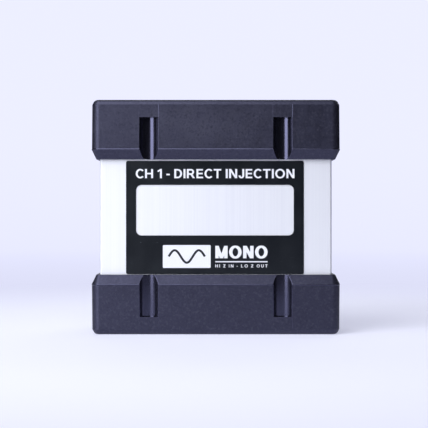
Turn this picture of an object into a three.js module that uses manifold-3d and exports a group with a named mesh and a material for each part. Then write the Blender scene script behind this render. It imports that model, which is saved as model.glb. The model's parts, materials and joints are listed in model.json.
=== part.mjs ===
// Passive direct injection (DI) box.
//
// An extruded aluminium sleeve is closed at each end by a steel panel. A moulded bumper slides over
// each end, and four screws through its inner flange hold bumper and panel to the sleeve.
// The output panel carries a male XLR and the ground lift switch. The input panel carries two
// quarter-inch jacks and the pad switch. A circuit board with the transformer slides in the sleeve.
//
// Millimetres. The box stands on its input end: X is its width, -Y faces the front with the label,
// and +Z points to the output end. The origin is the middle of the footprint, on the ground.

import * as THREE from "three";
import { mergeVertices } from "three/addons/utils/BufferGeometryUtils.js";
import Module from "manifold-3d";

const wasm = await Module();
wasm.setup();

// ---------------------------------------------------------------- driving dimensions

const BOX = { width: 123.6, depth: 50, height: 116.5 };
const GAP = 0.05; // between faces that touch in the real box
const FIT = 0.15; // around pieces that slide into each other

const BUMPER = {
  length: 29.6, // along Z
  proud: 4.05, // how far it stands out over the sleeve, on each side
  cornerRadius: 4.25, // of its four long edges
  rimRadius: 2.2, // of the edge round its outer end
  draft: 0.3, // it narrows by this much towards its outer end
  chamferLength: 4.75, // at its inner end, along Z
  chamferInset: 2.35,
  wellDepth: 9, // from the rim down to the inner flange
  wellWall: 3.8,
  wellCorner: 3,
  flangeThickness: 3,
  openingWidth: 108,
  openingDepth: 35,
  openingCorner: 3,
  bossRadius: 4.8, // material kept round each screw
};
const GRIP_GROOVE = {
  offset: 33.15, // from the middle of the face, along X
  radius: 5,
  centreHeight: 2, // of the groove's axis over the bumper's face
  closedEnd: 8.8, // from the bumper's outer end
};
const SLEEVE = { wall: 2, cornerRadius: 1 };
const PANEL = { thickness: 1.5 };
const PORT = { radius: 3.4, bore: 1.5, inset: 3.1, mouth: 1.6 }; // screw channels in the sleeve's corners
const BOARD = {
  face: 8, // Y of its component side
  thickness: 1.6,
  edgeGap: 0.25, // to the sleeve's side walls
  low: 15, // Z of its lower edge
  high: 101.5,
  notchWidth: 28, // round the back of the XLR
  notchDepth: 22,
};
const GUIDE = { height: 2.4, width: 1.2, play: 0.1 }; // ribs that hold the board's edges
const LABEL = { width: 88.5, height: 56.4, corner: 1, thickness: 0.3, low: 29.8, shift: -0.45 };
const WINDOW = { width: 78.5, height: 25.2, corner: 2.75, low: 49.05 };

const XLR = {
  x: -20,
  flangeWidth: 26,
  flangeHeight: 31,
  flangeCorner: 2,
  flangeThickness: 2,
  rimRadius: 11.2, // of the raised ring round the bore
  rimHeight: 0.8, // over the flange
  shellRadius: 11.6,
  boreRadius: 9.6,
  seatRadius: 10.2,
  boreDepth: 14, // from the panel's outer face
  shellDepth: 19,
  screwX: 9.5,
  screwY: 12,
  pinRadius: 1.2,
  pinCircle: 4.15,
  pinTip: -0.8,
  pinTail: -22.5,
};
const JACK = {
  spacing: 32, // of each jack from the middle of the panel
  boreRadius: 3.3,
  bushingRadius: 4.7,
  bushingTop: 4.2,
  bushingSeat: 6, // of the bushing in the body
  bodyWidth: 17,
  bodyFront: -7.5, // Y
  bodyDepth: 22.4,
  nutRadius: 7.33, // across corners
  nutThickness: 2.5,
  washerRadius: 7.6,
  washerThickness: 0.6,
};
const SWITCH = {
  outputX: 25,
  travel: 4.5,
  earSpacing: 29,
  earLength: 35,
  frameWidth: 23,
  frameHeight: 13,
  frameDepth: 7.4,
  sheet: 0.8,
  slotHeight: 5,
  knobWidth: 4.5,
  knobHeight: 4.2,
  knobTop: 3.4,
};
const BUMPER_SCREW = { head: 3.4, headHeight: 2.4, shank: 1.4, length: 14, recess: 1.9 };
const SMALL_SCREW = { head: 2.7, headHeight: 1.8, shank: 1.25, length: 5.5, recess: 1.5 };
const TRANSFORMER = {
  x: 20,
  z: 62,
  width: 26,
  height: 21.5,
  stack: 9.4,
  centreLeg: 7,
  window: 5.2,
  yoke: 3.9,
};

// ---------------------------------------------------------------- values worked out from them

const HALF_WIDTH = BOX.width / 2;
const HALF_DEPTH = BOX.depth / 2;
const SLEEVE_HALF_WIDTH = HALF_WIDTH - BUMPER.proud;
const SLEEVE_HALF_DEPTH = HALF_DEPTH - BUMPER.proud;
const INNER_HALF_WIDTH = SLEEVE_HALF_WIDTH - SLEEVE.wall;
const INNER_HALF_DEPTH = SLEEVE_HALF_DEPTH - SLEEVE.wall;
const SCREW_X = INNER_HALF_WIDTH - PORT.inset;
const SCREW_Y = INNER_HALF_DEPTH - PORT.inset;
const CORNERS = [[1, 1], [-1, 1], [-1, -1], [1, -1]];

// Levels along Z in an end's own frame, whose zero is the bumper's outer end and +Z points outwards.
const FLANGE_FACE = -BUMPER.wellDepth;
const FLANGE_BACK = FLANGE_FACE - BUMPER.flangeThickness;
const PANEL_FACE = FLANGE_BACK - GAP;
const PANEL_BACK = PANEL_FACE - PANEL.thickness;
const SLEEVE_END = PANEL_BACK - GAP;
const BEHIND_PANEL = -PANEL.thickness - GAP; // in the frame of a piece mounted on the panel

// ---------------------------------------------------------------- finishes

const finish = (color, roughness, metalness) =>
  new THREE.MeshStandardMaterial({ color, roughness, metalness });

const FINISH = {
  bumperPlastic: finish(0x24242b, 0.55, 0),
  anodised: finish(0xe6e8f0, 0.35, 1),
  panelPaint: finish(0x17181c, 0.45, 0.3),
  labelFilm: finish(0x15171c, 0.3, 0),
  zincScrew: finish(0x2a2a2e, 0.4, 0.9),
  nickel: finish(0xc9c9c4, 0.25, 1),
  gold: finish(0xd9b45a, 0.25, 1),
  blackPlastic: finish(0x1a1a1c, 0.5, 0),
  phenolic: finish(0x6b4526, 0.7, 0),
  fibreglass: finish(0x1f6b3a, 0.5, 0),
  lamination: finish(0x77777a, 0.5, 0.9),
  bobbinNylon: finish(0xe4dcc6, 0.6, 0),
  windingTape: finish(0xd9a520, 0.5, 0),
  resistorLacquer: finish(0xd8c39a, 0.5, 0),
  capacitorEpoxy: finish(0xa02a22, 0.4, 0),
  redWire: finish(0xb01c1c, 0.5, 0),
  whiteWire: finish(0xe8e8e8, 0.5, 0),
  greenWire: finish(0x2b7a35, 0.5, 0),
};

// ---------------------------------------------------------------- shapes

function roundedRect(width, height, radius) {
  const x = width / 2 - radius;
  const y = height / 2 - radius;
  const shape = new THREE.Shape();
  shape.absarc(x, y, radius, 0, Math.PI / 2);
  shape.absarc(-x, y, radius, Math.PI / 2, Math.PI);
  shape.absarc(-x, -y, radius, Math.PI, 1.5 * Math.PI);
  shape.absarc(x, -y, radius, 1.5 * Math.PI, 2 * Math.PI);
  return shape;
}

const prism = (shape, low, high, curveSegments = 4) =>
  new THREE.ExtrudeGeometry(shape, { depth: high - low, bevelEnabled: false, curveSegments })
    .translate(0, 0, low);

const block = (x, y, z) =>
  new THREE.BoxGeometry(x[1] - x[0], y[1] - y[0], z[1] - z[0])
    .translate((x[0] + x[1]) / 2, (y[0] + y[1]) / 2, (z[0] + z[1]) / 2);

const rod = (radius, low, high, x = 0, y = 0, sides = 24) =>
  new THREE.CylinderGeometry(radius, radius, high - low, sides)
    .rotateX(Math.PI / 2)
    .translate(x, y, (low + high) / 2);

// A turned piece: points are [radius, z] from the lower end of the axis to its upper end.
const turned = (points, sides = 24) =>
  new THREE.LatheGeometry(points.map(([r, z]) => new THREE.Vector2(r, z)), sides)
    .rotateX(Math.PI / 2);

// A skin over rounded rectangles, each { z, halfWidth, halfDepth, radius }, from the lowest up.
function loft(sections, cornerSteps = 5) {
  const ring = ({ halfWidth, halfDepth, radius }) =>
    CORNERS.flatMap(([sx, sy], corner) =>
      Array.from({ length: cornerSteps + 1 }, (_, i) => {
        const angle = (corner + i / cornerSteps) * (Math.PI / 2);
        return [
          sx * (halfWidth - radius) + radius * Math.cos(angle),
          sy * (halfDepth - radius) + radius * Math.sin(angle),
        ];
      }));
  const count = 4 * (cornerSteps + 1);
  const positions = sections.flatMap((section) =>
    ring(section).flatMap(([x, y]) => [x, y, section.z]));
  const lowCentre = positions.length / 3;
  positions.push(0, 0, sections[0].z, 0, 0, sections.at(-1).z);
  const faces = [];
  for (let i = 0; i < count; i++) {
    const next = (i + 1) % count;
    for (let s = 0; s + 1 < sections.length; s++) {
      const a = s * count;
      const b = a + count;
      faces.push(a + i, a + next, b + next, a + i, b + next, b + i);
    }
    const top = (sections.length - 1) * count;
    faces.push(lowCentre, next, i, lowCentre + 1, top + i, top + next);
  }
  const geometry = new THREE.BufferGeometry();
  geometry.setAttribute("position", new THREE.Float32BufferAttribute(positions, 3));
  geometry.setIndex(faces);
  return geometry;
}

// A strip of sheet metal bent along [y, z] points, lying across X.
function bentStrip(points, width, thickness) {
  const path = points.map(([y, z]) => new THREE.Vector2(y, z));
  const offset = (side) => path.map((point, i) => {
    const before = path[Math.max(i - 1, 0)];
    const after = path[Math.min(i + 1, path.length - 1)];
    const along = after.clone().sub(before).normalize();
    return new THREE.Vector2(-along.y, along.x).multiplyScalar(side * thickness / 2).add(point);
  });
  const shape = new THREE.Shape([...offset(1), ...offset(-1).reverse()]);
  // The shape's x and y become Y and Z, and its depth lies along X.
  return prism(shape, -width / 2, width / 2)
    .applyMatrix4(new THREE.Matrix4().makeBasis(
      new THREE.Vector3(0, 1, 0), new THREE.Vector3(0, 0, 1), new THREE.Vector3(1, 0, 0)));
}

// ---------------------------------------------------------------- joins and cuts

function solidOf(geometry) {
  const bare = new THREE.BufferGeometry();
  bare.setAttribute("position", geometry.getAttribute("position"));
  if (geometry.index) bare.setIndex(geometry.index);
  const merged = mergeVertices(bare, 1e-4);
  return new wasm.Manifold(new wasm.Mesh({
    numProp: 3,
    vertProperties: merged.getAttribute("position").array,
    triVerts: new Uint32Array(merged.index.array),
  }));
}

function geometryOf(solid) {
  const { vertProperties, triVerts } = solid.getMesh();
  const geometry = new THREE.BufferGeometry();
  geometry.setAttribute("position", new THREE.BufferAttribute(vertProperties, 3));
  geometry.setIndex(new THREE.BufferAttribute(triVerts, 1));
  return geometry;
}

const joined = (...pieces) =>
  geometryOf(pieces.map(solidOf).reduce((all, piece) => all.add(piece)));

const cut = (body, ...tools) =>
  geometryOf(tools.map(solidOf).reduce((rest, tool) => rest.subtract(tool), solidOf(body)));

// ---------------------------------------------------------------- scene graph

function mesh(name, geometry, material, position = [0, 0, 0], turnZ = 0) {
  const made = new THREE.Mesh(geometry, material);
  geometry.computeVertexNormals();
  made.name = name;
  made.position.set(...position);
  made.rotation.z = turnZ;
  return made;
}

function group(position, ...children) {
  const made = new THREE.Group();
  made.position.set(...position);
  made.add(...children.flat());
  return made;
}

// ---------------------------------------------------------------- fasteners

// A pan-head screw with a cross recess. Its zero is the seat of the head, and +Z is the head's side.
function panScrew({ head, headHeight, shank, length, recess }) {
  const body = turned([
    [0, -length], [shank, -length + shank], [shank, 0],
    [head, 0], [head, headHeight * 0.45], [head * 0.72, headHeight * 0.88], [0, headHeight],
  ], 12);
  const arm = 0.28 * recess;
  const depth = [headHeight * 0.4, headHeight + 1];
  return cut(body,
    block([-recess, recess], [-arm, arm], depth),
    block([-arm, arm], [-recess, recess], depth));
}

const hexNut = (radius, bore, low, high) =>
  cut(rod(radius, low, high, 0, 0, 6), rod(bore, low - 1, high + 1));

const washer = (radius, bore, low, high) => cut(rod(radius, low, high), rod(bore, low - 1, high + 1));

// ---------------------------------------------------------------- casing

function sleeve() {
  const low = -SLEEVE_END;
  const high = BOX.height + SLEEVE_END;
  const outer = roundedRect(2 * SLEEVE_HALF_WIDTH, 2 * SLEEVE_HALF_DEPTH, SLEEVE.cornerRadius);
  outer.holes.push(roundedRect(2 * INNER_HALF_WIDTH, 2 * INNER_HALF_DEPTH, 0.5));
  const ports = CORNERS.map(([sx, sy]) => rod(PORT.radius, low, high, sx * SCREW_X, sy * SCREW_Y, 16));
  const guides = [-1, 1].flatMap((side) => {
    const x = [side * (INNER_HALF_WIDTH - GUIDE.height), side * (INNER_HALF_WIDTH + 0.5)];
    const lower = BOARD.face - GUIDE.play;
    const upper = BOARD.face + BOARD.thickness + GUIDE.play;
    return [[lower - GUIDE.width, lower], [upper, upper + GUIDE.width]].map((y) =>
      block([Math.min(...x), Math.max(...x)], y, [low, high]));
  });
  const bores = CORNERS.map(([sx, sy]) =>
    rod(PORT.bore, low - 1, high + 1, sx * SCREW_X, sy * SCREW_Y, 12));
  // Each screw channel is open towards the middle, as an extruded one is.
  const mouths = CORNERS.map(([sx, sy]) => {
    const reach = [sx * SCREW_X, sx * (SCREW_X - PORT.radius - 1)];
    return block([Math.min(...reach), Math.max(...reach)],
      [sy * SCREW_Y - PORT.mouth / 2, sy * SCREW_Y + PORT.mouth / 2], [low - 1, high + 1]);
  });
  return cut(joined(prism(outer, low, high), ...ports, ...guides), ...bores, ...mouths);
}

// The outline of a bumper, pulled in by an inset on every side.
const bumperSection = (z, inset) => ({
  z,
  halfWidth: HALF_WIDTH - inset,
  halfDepth: HALF_DEPTH - inset,
  radius: BUMPER.cornerRadius - inset,
});

function bumper() {
  const rimSteps = 3;
  const rim = Array.from({ length: rimSteps + 1 }, (_, i) => {
    const angle = (i / rimSteps) * (Math.PI / 2);
    return bumperSection(
      -BUMPER.rimRadius * (1 - Math.sin(angle)),
      BUMPER.draft + BUMPER.rimRadius * (1 - Math.cos(angle)));
  });
  const skin = loft([
    bumperSection(-BUMPER.length, BUMPER.chamferInset),
    bumperSection(-BUMPER.length + BUMPER.chamferLength, 0),
    ...rim,
  ]);
  const pocket = prism(
    roundedRect(2 * (SLEEVE_HALF_WIDTH + FIT), 2 * (SLEEVE_HALF_DEPTH + FIT), SLEEVE.cornerRadius),
    -BUMPER.length - 1, FLANGE_BACK);
  const well = prism(
    roundedRect(BOX.width - 2 * (BUMPER.draft + BUMPER.wellWall),
      BOX.depth - 2 * (BUMPER.draft + BUMPER.wellWall), BUMPER.wellCorner),
    FLANGE_FACE, 1);
  const opening = cut(
    prism(roundedRect(BUMPER.openingWidth, BUMPER.openingDepth, BUMPER.openingCorner),
      FLANGE_BACK - 1, FLANGE_FACE + 1),
    ...CORNERS.map(([sx, sy]) =>
      rod(BUMPER.bossRadius, FLANGE_BACK - 2, FLANGE_FACE + 2, sx * SCREW_X, sy * SCREW_Y, 16)));
  const screwHoles = CORNERS.map(([sx, sy]) =>
    rod(BUMPER_SCREW.shank + 0.4, FLANGE_BACK - 1, FLANGE_FACE + 1, sx * SCREW_X, sy * SCREW_Y, 12));
  const grooves = [-1, 1].flatMap((side) => [-1, 1].map((face) =>
    rod(GRIP_GROOVE.radius, -BUMPER.length - 1, -GRIP_GROOVE.closedEnd,
      side * GRIP_GROOVE.offset, face * (HALF_DEPTH + GRIP_GROOVE.centreHeight), 32)));
  return cut(skin, pocket, well, opening, ...screwHoles, ...grooves);
}

// A steel end panel with its corner screw holes and the cut-outs it is given.
const panel = (...cutouts) => cut(
  prism(roundedRect(2 * SLEEVE_HALF_WIDTH, 2 * SLEEVE_HALF_DEPTH, SLEEVE.cornerRadius),
    PANEL_BACK, PANEL_FACE),
  ...CORNERS.map(([sx, sy]) =>
    rod(BUMPER_SCREW.shank + 0.4, PANEL_BACK - 1, PANEL_FACE + 1, sx * SCREW_X, sy * SCREW_Y, 12)),
  ...cutouts);

function switchCutouts(x) {
  const slot = SWITCH.knobWidth + SWITCH.travel + 0.6;
  const z = [PANEL_BACK - 1, PANEL_FACE + 1];
  return [
    block([x - slot / 2, x + slot / 2], [-SWITCH.slotHeight / 2, SWITCH.slotHeight / 2], z),
    ...[-1, 1].map((side) =>
      rod(SMALL_SCREW.shank + 0.35, ...z, x + side * SWITCH.earSpacing / 2, 0, 12)),
  ];
}

const outputPanel = () => panel(
  rod(XLR.shellRadius + FIT, PANEL_BACK - 1, PANEL_FACE + 1, XLR.x, 0, 32),
  ...[-1, 1].map((side) => rod(SMALL_SCREW.shank + 0.35, PANEL_BACK - 1, PANEL_FACE + 1,
    XLR.x + side * XLR.screwX, side * XLR.screwY, 12)),
  ...switchCutouts(SWITCH.outputX));

const inputPanel = () => panel(
  ...[-1, 1].map((side) =>
    rod(JACK.bushingRadius + FIT, PANEL_BACK - 1, PANEL_FACE + 1, side * JACK.spacing)),
  ...switchCutouts(0));

// The printed label. Its window leaves the bare aluminium to write on.
function faceLabel() {
  const middle = LABEL.low + LABEL.height / 2;
  const shape = roundedRect(LABEL.width, LABEL.height, LABEL.corner);
  const window = roundedRect(WINDOW.width, WINDOW.height, WINDOW.corner);
  const windowMiddle = WINDOW.low + WINDOW.height / 2;
  shape.holes.push(new THREE.Path(
    window.getPoints(6).map((p) => p.add(new THREE.Vector2(0, windowMiddle - middle)))));
  return prism(shape, 0, LABEL.thickness)
    .rotateX(Math.PI / 2) // the shape's y becomes Z, and its front faces -Y
    .translate(LABEL.shift, -SLEEVE_HALF_DEPTH - GAP, middle);
}

function end(name, panelGeometry, ...mounted) {
  const screws = CORNERS.map(([sx, sy], i) =>
    mesh(`${name}_bumper_screw_${i + 1}`, panScrew(BUMPER_SCREW), FINISH.zincScrew,
      [sx * SCREW_X, sy * SCREW_Y, FLANGE_FACE + GAP], i * 0.6));
  return group([0, 0, 0],
    mesh(`${name}_bumper`, bumper(), FINISH.bumperPlastic),
    mesh(`${name}_panel`, panelGeometry, FINISH.panelPaint),
    screws,
    mounted);
}

// ---------------------------------------------------------------- pieces mounted on a panel
// Their frame's zero is on the panel's outer face, and +Z points outwards.

function xlrShell() {
  const flangeTop = GAP + XLR.flangeThickness;
  const flange = prism(roundedRect(XLR.flangeWidth, XLR.flangeHeight, XLR.flangeCorner), GAP, flangeTop);
  const tube = rod(XLR.shellRadius, -XLR.shellDepth, GAP + 0.5, 0, 0, 32);
  const rimTop = flangeTop + XLR.rimHeight;
  const rim = rod(XLR.rimRadius, flangeTop - 0.5, rimTop, 0, 0, 32);
  const key = block([-1.1, 1.1], [-XLR.boreRadius - 0.5, -XLR.boreRadius + 1.3],
    [-XLR.boreDepth, flangeTop - 1]);
  const hollow = cut(joined(flange, tube, rim),
    rod(XLR.boreRadius, -XLR.boreDepth, rimTop + 1, 0, 0, 32),
    rod(XLR.seatRadius, -XLR.shellDepth - 1, -XLR.boreDepth, 0, 0, 32),
    ...[-1, 1].map((side) =>
      rod(SMALL_SCREW.shank + 0.25, 0, flangeTop + 1, side * XLR.screwX, side * XLR.screwY, 12)));
  // The notch beside the key takes the plug's latch.
  return cut(joined(hollow, key),
    block([-2.6, 2.6], [-XLR.boreRadius - 1.2, -XLR.boreRadius + 0.8], [-6.5, -3.5]));
}

// Pins 1 and 2 lie left and right, and pin 3 faces away from the key.
const XLR_PINS = [Math.PI, 0, Math.PI / 2].map((angle) =>
  [XLR.pinCircle * Math.cos(angle), XLR.pinCircle * Math.sin(angle)]);

const xlrInsert = () => cut(
  rod(XLR.seatRadius - FIT, -XLR.shellDepth + 1, -XLR.boreDepth - GAP, 0, 0, 32),
  ...XLR_PINS.map(([x, y]) =>
    rod(XLR.pinRadius + 0.08, -XLR.shellDepth - 1, -XLR.boreDepth + 1, x, y, 12)));

// A contact pin with a rounded tip and a hollow solder cup at its tail.
function xlrPin() {
  const { pinRadius: r, pinTip, pinTail } = XLR;
  const tip = [0.38, 0.75, 1].map((share) => {
    const angle = share * (Math.PI / 2);
    return [r * Math.cos(angle), pinTip - r + r * Math.sin(angle)];
  });
  tip[2][0] = 0;
  return turned([[0, pinTail + 2.5], [r * 0.65, pinTail + 2.5], [r * 0.65, pinTail], [r, pinTail],
    [r, pinTip - r], ...tip], 12);
}

// A short insulated wire through the points, ending clear of what it joins.
function lead(points, radius) {
  const curve = new THREE.CatmullRomCurve3(points.map((p) => new THREE.Vector3(...p)));
  const section = new THREE.Shape();
  section.absarc(0, 0, radius, 0, 2 * Math.PI);
  return new THREE.ExtrudeGeometry(section,
    { steps: 10, curveSegments: 3, extrudePath: curve, bevelEnabled: false });
}

function xlrLeads() {
  const boardLevel = BOARD.face - 0.3;
  const notchEdge = PANEL_FACE + BOX.height - BOARD.high + BOARD.notchDepth; // below the panel's face
  return XLR_PINS.map(([x, y], i) => lead([
    [x, y, XLR.pinTail - 0.3],
    [x, y + 0.4, XLR.pinTail - 2.5],
    [x * 1.1, boardLevel - 1.6, -notchEdge - 2.6],
    [x * 1.1, boardLevel, -notchEdge - 3.4],
  ], 0.6)).map((geometry, i) => mesh(`xlr_lead_${i + 1}`, geometry,
    [FINISH.greenWire, FINISH.redWire, FINISH.whiteWire][i]));
}

function groundLug() {
  const tongue = block([2, 8.5], [-2, 2], [BEHIND_PANEL - 0.8, BEHIND_PANEL]);
  return cut(joined(rod(3, BEHIND_PANEL - 0.8, BEHIND_PANEL), tongue),
    rod(SMALL_SCREW.shank + 0.2, BEHIND_PANEL - 2, BEHIND_PANEL + 1, 0, 0, 12));
}

function xlr() {
  const screwPlaces = [-1, 1].map((side) => [side * XLR.screwX, side * XLR.screwY]);
  const nutLow = BEHIND_PANEL - 0.8 - GAP - 2;
  return group([XLR.x, 0, PANEL_FACE],
    mesh("xlr_shell", xlrShell(), FINISH.nickel),
    mesh("xlr_insert", xlrInsert(), FINISH.blackPlastic),
    XLR_PINS.map(([x, y], i) => mesh(`xlr_pin_${i + 1}`, xlrPin(), FINISH.gold, [x, y, 0])),
    screwPlaces.map(([x, y], i) =>
      mesh(`xlr_screw_${i + 1}`, panScrew(SMALL_SCREW), FINISH.zincScrew,
        [x, y, XLR.flangeThickness + 2 * GAP], i + 0.4)),
    screwPlaces.map(([x, y], i) =>
      mesh(`xlr_nut_${i + 1}`, hexNut(3.1, SMALL_SCREW.shank + 0.08, 0, 2), FINISH.nickel,
        [x, y, nutLow])),
    mesh("ground_lug", groundLug(), FINISH.nickel, [...screwPlaces[1], 0]),
    xlrLeads());
}

function jackBody() {
  const back = BEHIND_PANEL - JACK.bodyDepth;
  const low = back - 1;
  const seat = BEHIND_PANEL - JACK.bushingSeat;
  const half = JACK.bodyWidth / 2;
  return cut(
    block([-half, half], [JACK.bodyFront, BOARD.face - 2 * GAP], [back, BEHIND_PANEL]),
    rod(JACK.bushingRadius + FIT, seat, BEHIND_PANEL + 1),
    rod(JACK.boreRadius, back + 1.5, seat + 1),
    block([-2.8, 2.8], [JACK.bodyFront - 1, 0], [low + 5, seat - 3]));
}

// The leaf that touches the plug's tip. It runs from the board up the back of the body and dips into the bore.
function jackTipSpring() {
  const back = BEHIND_PANEL - JACK.bodyDepth;
  const top = JACK.bodyFront - 0.5;
  return bentStrip([
    [BOARD.face - 0.2, back - 0.5], [top, back - 0.5], [top, back + 5], [-3.4, back + 7.5],
    [-2.9, back + 8.5], [-3.4, back + 9.5], [-5.6, back + 12],
  ], 4, 0.4);
}

function jack(name, x) {
  const washerTop = GAP + JACK.washerThickness;
  const nutLow = washerTop + GAP;
  const hole = JACK.bushingRadius + 0.1;
  const bushing = cut(rod(JACK.bushingRadius, BEHIND_PANEL - JACK.bushingSeat + GAP, JACK.bushingTop),
    rod(JACK.boreRadius, BEHIND_PANEL - JACK.bushingSeat - 1, JACK.bushingTop + 1));
  return group([x, 0, PANEL_FACE],
    mesh(`${name}_jack_body`, jackBody(), FINISH.blackPlastic),
    mesh(`${name}_jack_bushing`, bushing, FINISH.nickel),
    mesh(`${name}_jack_washer`, washer(JACK.washerRadius, hole, GAP, washerTop), FINISH.nickel),
    mesh(`${name}_jack_nut`, hexNut(JACK.nutRadius, hole, nutLow, nutLow + JACK.nutThickness), FINISH.nickel),
    mesh(`${name}_jack_tip_spring`, jackTipSpring(), FINISH.nickel));
}

function switchFrame() {
  const plateLow = BEHIND_PANEL - SWITCH.sheet;
  const back = plateLow - SWITCH.frameDepth;
  const [x, y] = [SWITCH.frameWidth / 2, SWITCH.frameHeight / 2];
  const wall = 0.5;
  const slot = SWITCH.knobWidth + SWITCH.travel + 0.6;
  return cut(
    joined(
      prism(roundedRect(SWITCH.earLength, 8, 1.5), plateLow, BEHIND_PANEL),
      block([-x, x], [-y, y], [back, BEHIND_PANEL])),
    block([wall - x, x - wall], [wall - y, y - wall], [back - 1, plateLow]),
    block([-slot / 2, slot / 2], [-SWITCH.slotHeight / 2, SWITCH.slotHeight / 2], [plateLow - 1, 0]),
    ...[-1, 1].map((side) =>
      rod(SMALL_SCREW.shank + 0.1, plateLow - 1, 0, side * SWITCH.earSpacing / 2, 0, 12)));
}

// The insulating base with its three terminals, bent down to the board.
function switchBase() {
  const back = BEHIND_PANEL - SWITCH.sheet - SWITCH.frameDepth;
  const [x, y] = [SWITCH.frameWidth / 2 - 0.7, SWITCH.frameHeight / 2 - 0.7];
  const terminals = [-6, 0, 6].flatMap((at) => [
    block([at - 0.8, at + 0.8], [-0.3, 0.3], [back - 2.6, back + 0.5]),
    block([at - 0.8, at + 0.8], [-0.3, BOARD.face - 2 * GAP], [back - 3.1, back - 2.5]),
  ]);
  return joined(block([-x, x], [-y, y], [back + 0.1, back + 1.6]), ...terminals);
}

// The knob and the slider block under it, drawn at the left end of the travel.
function switchLever() {
  const plateLow = BEHIND_PANEL - SWITCH.sheet;
  const left = -SWITCH.travel / 2;
  const knob = [left - SWITCH.knobWidth / 2, left + SWITCH.knobWidth / 2];
  const grip = [-1, 0, 1].map((step) =>
    block([left + step * 1.2 - 0.25, left + step * 1.2 + 0.25], [-3, 3],
      [SWITCH.knobTop - 0.4, SWITCH.knobTop + 1]));
  return cut(joined(
    block(knob, [-SWITCH.knobHeight / 2, SWITCH.knobHeight / 2], [plateLow - 3, SWITCH.knobTop]),
    block([left - 6, left + 6], [-5.2, 5.2], [plateLow - 4.6, plateLow - 0.1])), ...grip);
}

// The clip under the slider block that bridges two of the terminals.
function switchContact() {
  const top = BEHIND_PANEL - SWITCH.sheet - 4.7;
  const left = -SWITCH.travel / 2;
  return block([left - 4.2, left + 4.2], [-1.6, 1.6], [top - 0.6, top]);
}

const slideSwitch = (name, x) => group([x, 0, PANEL_FACE],
  mesh(`${name}_switch_frame`, switchFrame(), FINISH.nickel),
  mesh(`${name}_switch_base`, switchBase(), FINISH.phenolic),
  mesh(`${name}_switch_lever`, switchLever(), FINISH.blackPlastic),
  mesh(`${name}_switch_contact`, switchContact(), FINISH.nickel),
  [-1, 1].map((side, i) => mesh(`${name}_switch_screw_${i + 1}`, panScrew(SMALL_SCREW), FINISH.zincScrew,
    [side * SWITCH.earSpacing / 2, 0, GAP], i + 0.9)));

// ---------------------------------------------------------------- circuit board
// The frame of a piece on the board: X as in the box, Y up the box, and Z out of the component side.

function circuitBoard() {
  const half = INNER_HALF_WIDTH - BOARD.edgeGap;
  const [left, right] = [XLR.x - BOARD.notchWidth / 2, XLR.x + BOARD.notchWidth / 2];
  const back = [BOARD.face, BOARD.face + BOARD.thickness];
  return cut(block([-half, half], back, [BOARD.low, BOARD.high]),
    block([left, right], [back[0] - 1, back[1] + 1], [BOARD.high - BOARD.notchDepth, BOARD.high + 1]));
}

function transformer() {
  const { width, height, stack, centreLeg, window, yoke } = TRANSFORMER;
  const clear = 0.2;
  const windowHeight = height - 2 * yoke;
  const bottom = 1; // of the core, over the board
  const [winLow, winHigh] = [bottom + yoke, bottom + yoke + windowHeight];
  const windows = [-1, 1].map((side) => {
    const near = side * centreLeg / 2;
    const far = side * (centreLeg / 2 + window);
    return block([Math.min(near, far), Math.max(near, far)], [-stack, stack], [winLow, winHigh]);
  });
  const core = cut(
    block([-width / 2, width / 2], [-stack / 2, stack / 2], [bottom, bottom + height]), ...windows);

  const flangeX = centreLeg / 2 + window - clear;
  const flangeY = stack / 2 + window;
  const [tubeX, tubeY] = [centreLeg / 2 + clear + 0.9, stack / 2 + clear + 0.9];
  const flange = 1.2;
  const bobbin = cut(
    joined(
      block([-flangeX, flangeX], [-flangeY, flangeY], [winLow + clear, winLow + clear + flange]),
      block([-flangeX, flangeX], [-flangeY, flangeY], [winHigh - clear - flange, winHigh - clear]),
      block([-tubeX, tubeX], [-tubeY, tubeY], [winLow + clear, winHigh - clear])),
    block([-centreLeg / 2 - clear, centreLeg / 2 + clear], [-stack / 2 - clear, stack / 2 + clear],
      [0, winHigh + 5]));
  const coilShape = roundedRect(2 * flangeX - 0.8, 2 * flangeY - 1, 1.5);
  coilShape.holes.push(roundedRect(2 * tubeX + 0.2, 2 * tubeY + 0.2, 0.3));
  const winding = prism(coilShape, winLow + clear + flange + 0.1, winHigh - clear - flange - 0.1, 3);

  const sheet = 0.6;
  const strapX = width / 2 + 0.1;
  const strapTop = bottom + height + 0.1;
  const strap = cut(
    block([-strapX - sheet, strapX + sheet], [-3.5, 3.5], [0.2, strapTop + sheet]),
    block([-strapX, strapX], [-5, 5], [-1, strapTop]));
  return [
    mesh("transformer_core", core, FINISH.lamination),
    mesh("transformer_bobbin", bobbin, FINISH.bobbinNylon),
    mesh("transformer_winding", winding, FINISH.windingTape),
    mesh("transformer_strap", strap, FINISH.nickel),
  ];
}

// An axial resistor lying along X on bent wires.
function resistor() {
  const lift = 1.8;
  const body = turned([[0, -3.3], [0.9, -3.3], [1.25, -2.9], [1.25, -1.9], [1, -1.5], [1, 1.5],
    [1.25, 1.9], [1.25, 2.9], [0.9, 3.3], [0, 3.3]], 10).rotateY(Math.PI / 2);
  const wire = rod(0.3, -5.3, 5.3, 0, 0, 6).rotateY(Math.PI / 2);
  const legs = [-5, 5].map((x) => rod(0.3, -lift + 0.2, 0.2, x, 0, 6));
  return joined(body, wire, ...legs).translate(0, 0, lift);
}

function capacitor() {
  const legs = [-2.5, 2.5].map((x) => rod(0.3, 0.2, 1.5, x, 0, 6));
  return joined(prism(roundedRect(7.2, 3, 0.8), 1, 8), ...legs);
}

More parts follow.
